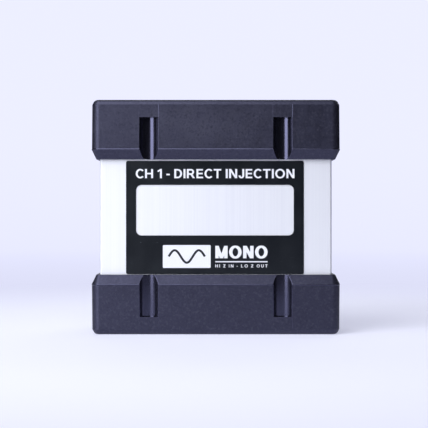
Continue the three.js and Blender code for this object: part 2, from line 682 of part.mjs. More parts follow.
function board() {
  const components = group([0, BOARD.face, 0],
    group([TRANSFORMER.x, TRANSFORMER.z, 0], transformer()),
    [0, 1, 2].map((i) =>
      mesh(`pad_resistor_${i + 1}`, resistor(), FINISH.resistorLacquer, [-12, 44 + 5 * i, 0])),
    mesh("filter_capacitor", capacitor(), FINISH.capacitorEpoxy, [-13, 64, 0]));
  components.rotation.x = Math.PI / 2;
  return [mesh("circuit_board", circuitBoard(), FINISH.fibreglass), components];
}

// ---------------------------------------------------------------- the box

const outputEnd = end("output", outputPanel(), xlr(), slideSwitch("ground_lift", SWITCH.outputX));
outputEnd.position.z = BOX.height;

const inputEnd = end("input", inputPanel(),
  jack("input", JACK.spacing), jack("link", -JACK.spacing), slideSwitch("pad", 0));
inputEnd.rotation.y = Math.PI; // upside down, with the board's side still at the back

const directBox = group([0, 0, 0],
  mesh("sleeve", sleeve(), FINISH.anodised),
  mesh("face_label", faceLabel(), FINISH.labelFilm),
  outputEnd,
  inputEnd,
  board());
directBox.name = "direct_injection_box";

export default directBox;
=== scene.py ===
# Looks of the direct injection box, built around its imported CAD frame.
# Shapes are drawn in millimetres, in the frame of the piece, and scaled to metres when they are placed.

import json
import math
import random

import bmesh
import bpy
from mathutils import Matrix, Vector
from mathutils.geometry import delaunay_2d_cdt


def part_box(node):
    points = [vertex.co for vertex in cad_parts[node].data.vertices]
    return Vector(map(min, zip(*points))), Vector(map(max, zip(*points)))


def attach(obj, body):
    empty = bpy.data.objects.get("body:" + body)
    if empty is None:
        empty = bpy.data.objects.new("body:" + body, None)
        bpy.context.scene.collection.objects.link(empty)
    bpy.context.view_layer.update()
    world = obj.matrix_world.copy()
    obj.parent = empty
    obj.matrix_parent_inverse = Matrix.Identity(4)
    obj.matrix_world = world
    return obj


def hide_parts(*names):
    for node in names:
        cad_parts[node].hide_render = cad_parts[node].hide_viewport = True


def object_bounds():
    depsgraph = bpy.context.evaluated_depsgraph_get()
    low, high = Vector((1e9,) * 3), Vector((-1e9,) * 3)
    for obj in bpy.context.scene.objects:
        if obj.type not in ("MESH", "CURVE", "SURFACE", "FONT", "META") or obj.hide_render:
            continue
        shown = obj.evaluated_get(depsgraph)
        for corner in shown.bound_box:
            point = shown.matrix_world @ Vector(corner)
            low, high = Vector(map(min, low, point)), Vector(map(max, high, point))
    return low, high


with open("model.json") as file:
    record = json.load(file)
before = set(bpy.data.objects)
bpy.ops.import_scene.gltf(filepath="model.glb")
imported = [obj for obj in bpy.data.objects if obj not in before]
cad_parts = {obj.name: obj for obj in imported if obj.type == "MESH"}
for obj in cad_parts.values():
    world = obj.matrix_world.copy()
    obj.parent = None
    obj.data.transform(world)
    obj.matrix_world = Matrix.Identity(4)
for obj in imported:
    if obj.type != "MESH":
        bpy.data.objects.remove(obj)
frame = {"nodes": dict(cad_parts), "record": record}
cad_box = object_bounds()

MM = 0.001
BODY_OF = {node: body for body, nodes in frame["record"]["behaviour"]["bodies"].items() for node in nodes}


# ---------------------------------------------------------------- places, from the frame

def box_mm(node):
    low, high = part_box(node)
    return low / MM, high / MM


def centre_mm(node):
    low, high = box_mm(node)
    return (low + high) / 2


def size_mm(node):
    low, high = box_mm(node)
    return high - low


# An end's own frame has +Z pointing out of the box. The input end is the output end turned over.
OUTWARD = {"output": Matrix.Identity(4), "input": Matrix.Rotation(math.pi, 4, "Y")}


def end_of(node):
    return "output" if centre_mm(node).z > centre_mm("sleeve").z else "input"


def panel_face(end):
    low, high = box_mm(f"{end}_panel")
    return high.z if end == "output" else low.z


def on_panel(node):
    """The frame of a piece mounted on a panel: its zero is on the panel's outer face."""
    centre, end = centre_mm(node), end_of(node)
    return Matrix.Translation((centre.x, centre.y, panel_face(end))) @ OUTWARD[end]


def span_on_panel(node):
    """The lowest and highest level of a node in the frame of its panel."""
    low, high = box_mm(node)
    face = panel_face(end_of(node))
    return (low.z - face, high.z - face) if end_of(node) == "output" else (face - high.z, face - low.z)


# ---------------------------------------------------------------- camera and light

VIEW_WIDTH = 0.21167  # metres seen from side to side at the front of the box
LENS, SENSOR = 100, 36
AIM_OFFSET = Vector((-0.0009, 0, 0.0015))  # the box sits a little right of and below the middle


def make_camera():
    low, high = cad_box
    camera_data = bpy.data.cameras.new("camera")
    camera_data.lens = LENS
    camera_data.sensor_width = SENSOR
    camera = bpy.data.objects.new("camera", camera_data)
    middle = Vector(((low.x + high.x) / 2, low.y, (low.z + high.z) / 2)) + AIM_OFFSET
    camera.location = middle - Vector((0, VIEW_WIDTH * LENS / SENSOR, 0))
    camera.rotation_euler = (math.pi / 2, 0, 0)
    bpy.context.scene.collection.objects.link(camera)
    bpy.context.scene.camera = camera


LAMP_COLOR = (0.93, 0.95, 1)


def softbox(name, azimuth, elevation, distance, size, power):
    """An area light that faces the box. Azimuth 0 is at the camera's side and 90 at the right."""
    light = bpy.data.lights.new(name, "AREA")
    light.shape = "RECTANGLE"
    light.size, light.size_y = size
    light.energy = power
    light.color = LAMP_COLOR
    lamp = bpy.data.objects.new(name, light)
    a, e = math.radians(azimuth), math.radians(elevation)
    away = Vector((math.sin(a) * math.cos(e), -math.cos(a) * math.cos(e), math.sin(e)))
    target = (cad_box[0] + cad_box[1]) / 2
    lamp.location = target + away * distance
    lamp.rotation_mode = "QUATERNION"
    lamp.rotation_quaternion = away.to_track_quat("Z", "Y")
    lamp.visible_camera = False
    bpy.context.scene.collection.objects.link(lamp)


def ring_surface(name, profile, closed, sides=96):
    """A smooth surface turned from [radius, z] points, seen from inside. A disc may close its first ring."""
    shape = bmesh.new()
    rings = []
    for r, z in profile:
        rings.append([shape.verts.new((r * math.cos(t), r * math.sin(t), z))
                      for t in (i * 2 * math.pi / sides for i in range(sides))])
    if closed:
        shape.faces.new(rings[0])
    for lower, upper in zip(rings, rings[1:]):
        for i in range(sides):
            j = (i + 1) % sides
            shape.faces.new((lower[j], lower[i], upper[i], upper[j]))
    mesh = bpy.data.meshes.new(name)
    shape.to_mesh(mesh)
    shape.free()
    for polygon in mesh.polygons:
        polygon.use_smooth = True
    made = bpy.data.objects.new(name, mesh)
    bpy.context.scene.collection.objects.link(made)
    return made


NEAR, FAR, WALL = 0.15, 0.42, 1.75  # distances from the box, in metres
BACKDROP_COLOR = (0.78, 0.795, 1)


def paper(name, color, near_glow, far_glow, wall_glow):
    """White paper lit by the lamps near the box, with a glow of its own.

    Past the reach of the lamps only the glow is left, and it grows to the wall.
    """
    surface = bpy.data.materials.new(name)
    surface.use_nodes = True
    tree = surface.node_tree
    shader = tree.nodes["Principled BSDF"]
    shader.inputs["Roughness"].default_value = 0.9
    shader.inputs["Specular IOR Level"].default_value = 0
    shader.inputs["Emission Color"].default_value = (*BACKDROP_COLOR, 1)
    place = tree.nodes.new("ShaderNodeTexCoord")
    distance = tree.nodes.new("ShaderNodeVectorMath")
    distance.operation = "LENGTH"
    tree.links.new(place.outputs["Object"], distance.inputs[0])

    def ramp(source, *limits):
        made = tree.nodes.new("ShaderNodeMapRange")
        for socket, value in zip(made.inputs[1:5], limits):
            socket.default_value = value
        tree.links.new(source, made.inputs[0])
        return made

    away = ramp(distance.outputs["Value"], NEAR, FAR, 0, 1)
    away.interpolation_type = "SMOOTHSTEP"
    glow = ramp(distance.outputs["Value"], FAR, WALL, far_glow, wall_glow)
    strength = ramp(away.outputs[0], 0, 1, near_glow, 0)
    tree.links.new(glow.outputs[0], strength.inputs[4])
    tree.links.new(strength.outputs[0], shader.inputs["Emission Strength"])
    fade = tree.nodes.new("ShaderNodeMix")
    fade.data_type = "RGBA"
    fade.inputs[6].default_value = (*color, 1)
    fade.inputs[7].default_value = (0, 0, 0, 1)
    tree.links.new(away.outputs[0], fade.inputs[0])
    tree.links.new(fade.outputs[2], shader.inputs["Base Color"])
    return surface


def make_studio():
    scene = bpy.context.scene
    scene.view_settings.view_transform = "Standard"
    world = bpy.data.worlds.new("studio")
    world.use_nodes = True
    background = world.node_tree.nodes["Background"]
    background.inputs["Color"].default_value = (0.83, 0.86, 1, 1)
    background.inputs["Strength"].default_value = 0.02
    scene.world = world
    softbox("key_light", -37, 18, 0.95, (0.58, 0.76), 7.8)
    softbox("upper_light", -34, 54, 0.9, (0.8, 0.45), 4.7)
    softbox("top_light", 0, 85, 0.9, (0.8, 0.8), 0.5)
    softbox("back_light", 180, 35, 1.0, (1.0, 0.5), 3.5)
    softbox("side_light", 140, 30, 1.2, (0.6, 0.6), 1.2)

    # A round paper floor that sweeps up into a wall. Past the reach of the lamps it lights nothing.
    reach, radius, sweep, wall = 0.32, 1.3, 0.6, 1.6
    surface = paper("studio_paper", (0.53, 0.535, 0.58), 0.53, 0.945, 1.09)
    floor = ring_surface("studio_floor", [(reach / 4, 0), (reach, 0)], True)
    steps = 16
    profile = [(reach, 0), (radius, 0)]
    for i in range(1, steps + 1):
        angle = i / steps * math.pi / 2
        profile.append((radius + sweep * math.sin(angle), sweep * (1 - math.cos(angle))))
    profile.append((radius + sweep, sweep + wall))
    backdrop = ring_surface("studio_backdrop", profile, False)
    backdrop.visible_glossy = False
    backdrop.visible_diffuse = False
    for made in (floor, backdrop):
        made.data.materials.append(surface)


# ---------------------------------------------------------------- outlines and solids, in millimetres

def rounded_rect(width, depth, radius, steps=8):
    points = []
    for corner, (sx, sy) in enumerate(((1, 1), (-1, 1), (-1, -1), (1, -1))):
        for i in range(steps + 1):
            angle = (corner + i / steps) * math.pi / 2
            points.append((sx * (width / 2 - radius) + radius * math.cos(angle),
                           sy * (depth / 2 - radius) + radius * math.sin(angle)))
    return points


def circle(radius, steps=64, centre=(0, 0), turn=0):
    angles = [turn + i * 2 * math.pi / steps for i in range(steps)]
    return [(centre[0] + radius * math.cos(a), centre[1] + radius * math.sin(a)) for a in angles]


def solid(shape):
    """A temporary object that holds a bmesh, ready to be cut and joined."""
    bmesh.ops.recalc_face_normals(shape, faces=shape.faces)
    mesh = bpy.data.meshes.new("work")
    shape.to_mesh(mesh)
    shape.free()
    made = bpy.data.objects.new("work", mesh)
    bpy.context.scene.collection.objects.link(made)
    return made


def loft(sections):
    """A closed skin over outlines of equal count, each (outline, z), from the lowest up."""
    shape = bmesh.new()
    rings = [[shape.verts.new((x, y, z)) for x, y in outline] for outline, z in sections]
    shape.faces.new(list(reversed(rings[0])))
    shape.faces.new(rings[-1])
    for lower, upper in zip(rings, rings[1:]):
        for i in range(len(lower)):
            j = (i + 1) % len(lower)
            shape.faces.new((lower[i], lower[j], upper[j], upper[i]))
    return solid(shape)


def prism(outline, low, high):
    return loft([(outline, low), (outline, high)])


def block(x, y, z):
    return prism([(x[0], y[0]), (x[1], y[0]), (x[1], y[1]), (x[0], y[1])], *z)


def rod(radius, low, high, centre=(0, 0), steps=64):
    return prism(circle(radius, steps, centre), low, high)


def turned(profile, steps=64):
    """A turned solid. The profile is [radius, z] points, from the lower end of the axis to its upper end."""
    shape = bmesh.new()
    rings = []
    for r, z in profile:
        rings.append([shape.verts.new((0, 0, z))] if r == 0 else
                     [shape.verts.new((*p, z)) for p in circle(r, steps)])
    for lower, upper in zip(rings, rings[1:]):
        for i in range(steps):
            j = (i + 1) % steps
            unique = list(dict.fromkeys((lower[i % len(lower)], lower[j % len(lower)],
                                         upper[j % len(upper)], upper[i % len(upper)])))
            if len(unique) > 2:
                shape.faces.new(unique)
    return solid(shape)


def turned_ring(profile, steps=64):
    """A turned ring: the profile closes on itself and stays clear of the axis."""
    shape = bmesh.new()
    rings = [[shape.verts.new((*p, z)) for p in circle(r, steps)] for r, z in profile]
    for lower, upper in zip(rings, rings[1:] + rings[:1]):
        for i in range(steps):
            j = (i + 1) % steps
            shape.faces.new((lower[i], lower[j], upper[j], upper[i]))
    return solid(shape)


def mesh_of(holder):
    """The mesh that a temporary curve or text object makes."""
    bpy.context.scene.collection.objects.link(holder)
    graph = bpy.context.evaluated_depsgraph_get()
    mesh = bpy.data.meshes.new_from_object(holder.evaluated_get(graph))
    bpy.data.objects.remove(holder)
    return mesh


def bake(made):
    """Applies the modifiers of a temporary object to its mesh."""
    graph = bpy.context.evaluated_depsgraph_get()
    mesh = bpy.data.meshes.new_from_object(made.evaluated_get(graph))
    made.modifiers.clear()
    old, made.data = made.data, mesh
    bpy.data.meshes.remove(old)
    return made


def combine(base, tools, operation):
    for tool in tools:
        modifier = base.modifiers.new("combine", "BOOLEAN")
        modifier.operation = operation
        modifier.solver = "EXACT"
        modifier.object = tool
    bake(base)
    for tool in tools:
        bpy.data.objects.remove(tool)
    return base


def cut(base, *tools):
    return combine(base, tools, "DIFFERENCE")


def joined(base, *tools):
    return combine(base, tools, "UNION")


def common(base, *tools):
    return combine(base, tools, "INTERSECT")


def moved(made, matrix):
    made.data.transform(matrix)
    return made


def soften(made, width, segments=2, angle=20):
    """Rounds the edges that turn by more than an angle."""
    shape = bmesh.new()
    shape.from_mesh(made.data)
    bmesh.ops.dissolve_limit(shape, angle_limit=math.radians(0.5), verts=shape.verts, edges=shape.edges)
    shape.to_mesh(made.data)
    shape.free()
    modifier = made.modifiers.new("soften", "BEVEL")
    modifier.width = width
    modifier.segments = segments
    modifier.limit_method = "ANGLE"
    modifier.angle_limit = math.radians(angle)
    modifier.use_clamp_overlap = True
    modifier.miter_outer = "MITER_ARC"
    return bake(made)


def smooth(made, angle=32):
    """Smooth shading that keeps sharp edges, with the large faces setting the direction of the normals."""
    for polygon in made.data.polygons:
        polygon.use_smooth = True
    made.data.set_sharp_from_angle(angle=math.radians(angle))
    even = made.modifiers.new("even_normals", "WEIGHTED_NORMAL")
    even.keep_sharp = True


def piece(name, made, place, material, nodes, stands_for=True, smooth_angle=32):
    """Turns a temporary object into a finished piece of the box, in metres, that rides with its CAD node."""
    made.name = name
    made.data.name = name
    made.data.transform(Matrix.Scale(MM, 4) @ place)
    smooth(made, smooth_angle)
    made.data.materials.clear()
    made.data.materials.append(material)
    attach(made, BODY_OF[nodes[0]])
    if stands_for:
        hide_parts(*nodes)
    return made


# ---------------------------------------------------------------- materials

class Shade:
    """A Principled material whose colour, roughness and relief are built up from procedural textures."""

    def __init__(self, name, color, roughness, metallic=0.0, specular=0.5, highlight=(1, 1, 1)):
        self.material = bpy.data.materials.new(name)
        self.material.use_nodes = True
        self.tree = self.material.node_tree
        self.shader = self.tree.nodes["Principled BSDF"]
        self.shader.inputs["Metallic"].default_value = metallic
        self.shader.inputs["Specular IOR Level"].default_value = specular
        self.shader.inputs["Specular Tint"].default_value = (*highlight, 1)
        self.place = self.tree.nodes.new("ShaderNodeTexCoord").outputs["Object"]
        self.color = self.constant_color(color)
        self.roughness = self.constant(roughness)
        self.normal = None

    def node(self, kind, **settings):
        made = self.tree.nodes.new(kind)
        for key, value in settings.items():
            setattr(made, key, value)
        return made

    def constant(self, value):
        made = self.node("ShaderNodeValue")
        made.outputs[0].default_value = value
        return made.outputs[0]

    def constant_color(self, color):
        made = self.node("ShaderNodeRGB")
        made.outputs[0].default_value = (*color, 1)
        return made.outputs[0]

    def noise(self, size, detail=3, stretch=(1, 1, 1)):
        """Noise whose features are about size metres across, longer along the stretched axes."""
        mapping = self.node("ShaderNodeMapping")
        mapping.inputs["Scale"].default_value = [1 / (size * s) for s in stretch]
        made = self.node("ShaderNodeTexNoise")
        made.inputs["Scale"].default_value = 1
        made.inputs["Detail"].default_value = detail
        self.tree.links.new(self.place, mapping.inputs["Vector"])
        self.tree.links.new(mapping.outputs[0], made.inputs["Vector"])
        return made.outputs["Fac"]

    def specks(self, size, radius, share):
        """Sparse round dots: each cell of size metres may hold a dot of the radius, and a share of them does."""
        mapping = self.node("ShaderNodeMapping")
        mapping.inputs["Scale"].default_value = [1 / size] * 3
        cells = self.node("ShaderNodeTexVoronoi")
        cells.inputs["Scale"].default_value = 1
        self.tree.links.new(self.place, mapping.inputs["Vector"])
        self.tree.links.new(mapping.outputs[0], cells.inputs["Vector"])
        near = self.math("LESS_THAN", cells.outputs["Distance"], radius / size)
        split = self.node("ShaderNodeSeparateColor")
        self.tree.links.new(cells.outputs["Color"], split.inputs[0])
        chosen = self.math("LESS_THAN", split.outputs[0], share)
        return self.math("MULTIPLY", near, chosen)

    def patch(self, centre, size):
        """A soft spot: 1 at its centre and 0 at its edge, which is size metres away along each axis."""
        away = self.node("ShaderNodeMapping")
        away.inputs["Location"].default_value = [-c / s for c, s in zip(centre, size)]
        away.inputs["Scale"].default_value = [1 / s for s in size]
        length = self.node("ShaderNodeVectorMath", operation="LENGTH")
        self.tree.links.new(self.place, away.inputs["Vector"])
        self.tree.links.new(away.outputs[0], length.inputs[0])
        return self.between(length.outputs["Value"], 1, 0, 0, 1)

    def math(self, operation, a, b):
        made = self.node("ShaderNodeMath", operation=operation)
        for socket, value in zip(made.inputs, (a, b)):
            if isinstance(value, (int, float)):
                socket.default_value = value
            else:
                self.tree.links.new(value, socket)
        return made.outputs[0]

    def between(self, mask, low, high, start=0.35, end=0.65):
        """A number that goes from low to high as the mask goes from start to end."""
        made = self.node("ShaderNodeMapRange")
        for socket, value in zip(made.inputs[1:5], (start, end, low, high)):
            socket.default_value = value
        self.tree.links.new(mask, made.inputs[0])
        return made.outputs[0]

    def tint(self, mask, color, amount=1.0, start=0.35, end=0.65):
        """Mixes a colour in where the mask is high."""
        made = self.node("ShaderNodeMix", data_type="RGBA")
        share = self.between(mask, 0, amount, start, end)
        self.tree.links.new(share, made.inputs[0])
        self.tree.links.new(self.color, made.inputs[6])
        made.inputs[7].default_value = (*color, 1)
        self.color = made.outputs[2]
        return self

    def roughen(self, mask, low, high, start=0.35, end=0.65):
        self.roughness = self.between(mask, low, high, start, end)
        return self

    def relief(self, mask, height):
        """Raises the surface by up to a height, in metres, where the mask is high."""
        made = self.node("ShaderNodeBump")
        made.inputs["Strength"].default_value = 1
        made.inputs["Distance"].default_value = height
        self.tree.links.new(mask, made.inputs["Height"])
        if self.normal is not None:
            self.tree.links.new(self.normal, made.inputs["Normal"])
        self.normal = made.outputs[0]
        return self

    def done(self):
        self.tree.links.new(self.color, self.shader.inputs["Base Color"])
        self.tree.links.new(self.roughness, self.shader.inputs["Roughness"])
        if self.normal is not None:
            self.tree.links.new(self.normal, self.shader.inputs["Normal"])
        return self.material


def moulded_plastic():
    """The bumpers' fine spark-eroded grain, and a painted sheen on the front of the upper bumper."""
    shade = Shade("bumper_plastic", (0.009, 0.009, 0.015), 0.5, specular=0.85, highlight=(0.60, 0.61, 0.98))
    # Painted sheen: a soft patch on the front of the upper bumper is coloured paler, standing in for a broad
    # highlight that lies there.
    painted_sheen = shade.patch((-0.014, -0.025, 0.104), (0.066, 0.02, 0.019))
    shade.tint(painted_sheen, (0.046, 0.046, 0.062), 0.9, 0, 1)
    shade.tint(shade.noise(0.012, 3), (0.012, 0.012, 0.019), 0.7)
    shade.tint(shade.noise(0.0011, 3), (0.034, 0.034, 0.046), 0.9, 0.5, 0.8)
    shade.tint(shade.noise(0.0009, 3), (0.002, 0.002, 0.004), 0.9, 0.5, 0.75)
    shade.tint(shade.specks(0.004, 0.00009, 0.25), (0.16, 0.16, 0.2), 0.7, 0.4, 0.6)
    shade.roughen(shade.noise(0.006, 4), 0.42, 0.5)
    shade.relief(shade.noise(0.001, 3), 0.00006)
    shade.relief(shade.noise(0.00035, 3), 0.00002)
    return shade.done()


def polished_plastic():
    """The same plastic where the mould was left smooth: the grip grooves and the parting line's sides."""
    shade = Shade("bumper_plastic_smooth", (0.004, 0.004, 0.006), 0.2, specular=1.0,
                  highlight=(0.66, 0.67, 1.1))
    shade.tint(shade.noise(0.004, 3), (0.006, 0.006, 0.009), 0.6)
    shade.roughen(shade.noise(0.003, 3, stretch=(1, 1, 6)), 0.18, 0.24)
    shade.relief(shade.noise(0.0008, 2), 0.000004)
    return shade.done()


def extruded_aluminium():
    shade = Shade("extruded_aluminium", (0.84, 0.85, 0.90), 0.55, metallic=0.55)
    streaks = shade.noise(0.0004, 3, stretch=(1, 1, 400))
    bands = shade.noise(0.004, 3, stretch=(1, 1, 90))
    shade.tint(bands, (0.81, 0.82, 0.88), 0.6)
    shade.tint(streaks, (0.88, 0.89, 0.93), 0.6)
    shade.roughen(streaks, 0.56, 0.6)
    shade.relief(streaks, 0.0000012)
    return shade.done()


def label_film():
    shade = Shade("label_film", (0.004, 0.005, 0.0075), 0.34, specular=0.42, highlight=(0.85, 0.92, 1))
    shade.tint(shade.specks(0.0042, 0.0002, 0.22), (0.10, 0.11, 0.13), 0.9, 0.4, 0.6)
    shade.tint(shade.specks(0.0021, 0.0001, 0.18), (0.12, 0.13, 0.16), 0.8, 0.4, 0.6)
    scratches = shade.noise(0.00025, 2, stretch=(22, 1, 1))
    shade.tint(scratches, (0.05, 0.055, 0.065), 0.5, 0.71, 0.76)
    shade.roughen(shade.noise(0.01, 4), 0.3, 0.38)
    shade.relief(shade.noise(0.0005, 3), 0.000004)
    return shade.done()


def print_ink(name, color):
    shade = Shade(name, color, 0.45)
    shade.tint(shade.noise(0.0004, 3), tuple(c * 0.9 for c in color), 0.5)
    shade.roughen(shade.noise(0.002, 3), 0.38, 0.52)
    shade.relief(shade.noise(0.0002, 2), 0.000003)
    return shade.done()


def powder_coat():
    shade = Shade("powder_coat", (0.011, 0.011, 0.014), 0.45)
    shade.tint(shade.noise(0.01, 3), (0.016, 0.016, 0.02), 0.6)
    shade.tint(shade.specks(0.006, 0.00009, 0.2), (0.14, 0.14, 0.16), 0.8, 0.4, 0.6)
    shade.roughen(shade.noise(0.004, 3), 0.38, 0.52)
    shade.relief(shade.noise(0.0007, 3), 0.00004)
    return shade.done()


def plated(name, color, roughness):
    grain = 0.0006
    shade = Shade(name, color, roughness, metallic=1)
    shade.tint(shade.noise(0.004, 4), tuple(c * 0.88 for c in color), 0.6)
    shade.roughen(shade.noise(grain * 3, 4), roughness * 0.9, roughness * 1.25)
    shade.relief(shade.noise(grain, 3), 0.0000006)
    return shade.done()


def moulded(name, color, roughness, grain=0.0003, depth=0.000015):
    shade = Shade(name, color, roughness)
    shade.tint(shade.noise(0.004, 3), tuple(c * 0.8 for c in color), 0.6)
    shade.roughen(shade.noise(0.003, 3), roughness * 0.85, roughness * 1.2)
    shade.relief(shade.noise(grain, 3), depth)
    return shade.done()


def laminations():
    """Thin steel sheets stacked up the box, with dark varnish between them."""
    shade = Shade("laminations", (0.34, 0.33, 0.32), 0.42, metallic=0.9)
    wave = shade.node("ShaderNodeTexWave", bands_direction="Z")
    wave.inputs["Scale"].default_value = 620
    wave.inputs["Distortion"].default_value = 0.4
    shade.tree.links.new(shade.place, wave.inputs["Vector"])
    shade.tint(wave.outputs["Fac"], (0.06, 0.05, 0.045), 0.8, 0.55, 0.9)
    shade.tint(shade.noise(0.003, 4), (0.25, 0.2, 0.16), 0.35)
    shade.roughen(shade.noise(0.002, 3), 0.35, 0.6)
    shade.relief(wave.outputs["Fac"], 0.00003)
    return shade.done()


def board_mask():
    """Green solder mask with the glass weave showing faintly."""
    shade = Shade("board_mask", (0.012, 0.10, 0.035), 0.35)
    shade.tint(shade.noise(0.0006, 2, stretch=(8, 1, 1)), (0.016, 0.13, 0.045), 0.5)
    shade.tint(shade.noise(0.0006, 2, stretch=(1, 1, 8)), (0.008, 0.075, 0.025), 0.5)
    shade.roughen(shade.noise(0.002, 3), 0.28, 0.42)
    shade.relief(shade.noise(0.0004, 2), 0.00001)
    return shade.done()


make_camera()
make_studio()

PLASTIC = moulded_plastic()
POLISHED_PLASTIC = polished_plastic()
ALUMINIUM = extruded_aluminium()
LABEL_FILM = label_film()
WHITE_INK = print_ink("white_ink", (0.86, 0.87, 0.93))
BLACK_INK = print_ink("black_ink", (0.010, 0.011, 0.016))
LEGEND_INK = print_ink("legend_ink", (0.72, 0.73, 0.76))
POWDER_COAT = powder_coat()
BLACK_ZINC = plated("black_zinc", (0.045, 0.045, 0.05), 0.35)
NICKEL = plated("nickel", (0.66, 0.64, 0.60), 0.32)
GOLD = plated("gold", (0.85, 0.60, 0.22), 0.2)
CONNECTOR = moulded("connector_plastic", (0.016, 0.016, 0.018), 0.42)
PHENOLIC = moulded("phenolic", (0.16, 0.065, 0.025), 0.6, 0.0008, 0.00003)
BOBBIN = moulded("bobbin_nylon", (0.72, 0.66, 0.52), 0.5)
TAPE = moulded("winding_tape", (0.72, 0.36, 0.03), 0.3, 0.001, 0.00003)
LACQUER = moulded("resistor_lacquer", (0.62, 0.47, 0.27), 0.4)
EPOXY = moulded("capacitor_epoxy", (0.34, 0.03, 0.02), 0.3, 0.0009, 0.00003)
SOLDER = plated("solder", (0.62, 0.62, 0.64), 0.3)
LAMINATIONS = laminations()
BOARD_MASK = board_mask()
INSULATION = {
    "xlr_lead_1": moulded("green_insulation", (0.02, 0.2, 0.04), 0.35),
    "xlr_lead_2": moulded("red_insulation", (0.42, 0.015, 0.015), 0.35),
    "xlr_lead_3": moulded("white_insulation", (0.76, 0.76, 0.76), 0.35),
}


# ---------------------------------------------------------------- casing

BUMPER_CORNER = 4.25  # radius of its long edges
BUMPER_RIM = 2.5  # height of the edge round its outer end: a facet, then an arc
RIM_FACET = math.radians(27)
BUMPER_DRAFT = 0.3
CHAMFER_LENGTH, CHAMFER_INSET = 4.75, 2.35
WELL_DEPTH, WELL_WALL, WELL_CORNER = 9, 3.8, 3
OPENING = (108, 35, 3)  # width, depth and corner radius of the flange's opening
BOSS = 4.8
GROOVE_OFFSET, GROOVE_RADIUS, GROOVE_HEIGHT, GROOVE_END = 33.15, 5, 2, 8.8
GROOVE_EDGE = 0.4  # radius of its long edges
LIP, LIP_STEP, LIP_BROW = 0.22, 0.13, 0.08  # the parting line's width, and how far its two sides fall away


def bumper(end):
    node = f"{end}_bumper"
    size = size_mm(node)
    low, high = box_mm(node)
    tip = high.z if end == "output" else low.z
    place = Matrix.Translation((0, 0, tip)) @ OUTWARD[end]

    def section(z, inset):
        return rounded_rect(size.x - 2 * inset, size.y - 2 * inset, BUMPER_CORNER - inset, 10), z

    steps = 8  # of the rim's arc, and of the skirt's height where the grooves are cut
    rim = [section(-BUMPER_RIM, BUMPER_DRAFT)]
    radius = BUMPER_RIM / 2 / (1 - math.sin(RIM_FACET))
    facet_inset = BUMPER_DRAFT + BUMPER_RIM / 2 * math.tan(RIM_FACET)
    for i in range(steps + 1):
        angle = RIM_FACET + i / steps * (math.pi / 2 - RIM_FACET)
        rim.append(section(-radius * (1 - math.sin(angle)),
                           facet_inset + radius * (math.cos(RIM_FACET) - math.cos(angle))))
    parting = -size.z + CHAMFER_LENGTH
    brow = parting - 1.6 * LIP_BROW
    foot = parting + LIP + 2 * LIP_STEP
    lip_levels = [(brow, LIP_BROW), (parting, 0), (parting + LIP, 0), (foot, LIP_STEP)]
    body = loft([section(-size.z, CHAMFER_INSET), *[section(*level) for level in lip_levels], *rim])

    def inset_at(z):
        """How far the face has fallen away from its widest level, between the skirt and the rim."""
        known = [(-size.z, CHAMFER_INSET), *lip_levels, (-BUMPER_RIM, BUMPER_DRAFT)]
        for (low_z, low_inset), (high_z, high_inset) in zip(known, known[1:]):
            if z <= high_z:
                return low_inset + (high_inset - low_inset) * (z - low_z) / (high_z - low_z)

    flange_back = span_in_end(f"{end}_panel", end)[1] + 0.05
    sleeve_size = size_mm("sleeve")
    pocket = prism(rounded_rect(sleeve_size.x + 0.3, sleeve_size.y + 0.3, 1), -size.z - 1, flange_back)
    inset = 2 * (BUMPER_DRAFT + WELL_WALL)
    well = prism(rounded_rect(size.x - inset, size.y - inset, WELL_CORNER), -WELL_DEPTH, 1)
    screws = [centre_mm(f"{end}_bumper_screw_{i}") for i in (1, 2, 3, 4)]
    spots = [(s.x if end == "output" else -s.x, s.y) for s in screws]
    opening = cut(prism(rounded_rect(*OPENING), flange_back - 1, -WELL_DEPTH + 1),
                  *[rod(BOSS, flange_back - 2, -WELL_DEPTH + 2, spot) for spot in spots])
    holes = [rod(1.8, flange_back - 1, -WELL_DEPTH + 1, spot, 32) for spot in spots]
    cut(body, pocket, well, opening, *holes)
    soften(body, 0.28, 5, 40)
    levels = [-size.z + (brow + size.z) * i / steps for i in range(steps)]
    levels += [z for z, _ in lip_levels] + [-GROOVE_END]
    sections = [(z, inset_at(z)) for z in levels]
    sections.insert(0, (-size.z - 0.5, CHAMFER_INSET + 0.5 * CHAMFER_INSET / CHAMFER_LENGTH))
    grooves = [(side * GROOVE_OFFSET, face) for side in (-1, 1) for face in (-1, 1)]
    cut(body, *[grip_groove(x, face, size.y / 2, sections) for x, face in grooves])
    ends = [(z, size.y / 2 - inset_at(z)) for z in (-GROOVE_END, -BUMPER_RIM)]
    toward_right = OUTWARD[end][0][0]
    joined(body, *[ridge for x, face in grooves for ridge in witness_lines(x, face, ends, toward_right)])
    piece(f"{end}_bumper_moulding", body, place, PLASTIC, [node], smooth_angle=20)

    mesh = body.data
    mesh.materials.append(POLISHED_PLASTIC)
    to_end = place.inverted()
    local = [to_end @ (vertex.co / MM) for vertex in mesh.vertices]
    reach = GROOVE_RADIUS + 0.85 * GROOVE_EDGE
    axis = size.y / 2 + GROOVE_HEIGHT
    for polygon in mesh.polygons:
        corners = [local[v] for v in polygon.vertices]
        in_groove = any(all(math.hypot(c.x - x, c.y - face * axis) < reach for c in corners)
                        for x, face in grooves)
        on_lip = any(all(bottom - 0.01 < c.z < top + 0.01 for c in corners)
                     for bottom, top in ((brow, parting), (parting + LIP, foot)))
        polygon.material_index = int(in_groove or on_lip)
    creases = (parting, parting + LIP, foot, -BUMPER_RIM)
    for edge in mesh.edges:
        if any(all(abs(local[v].z - z) < 0.005 for v in edge.vertices) for z in creases):
            edge.use_edge_sharp = True


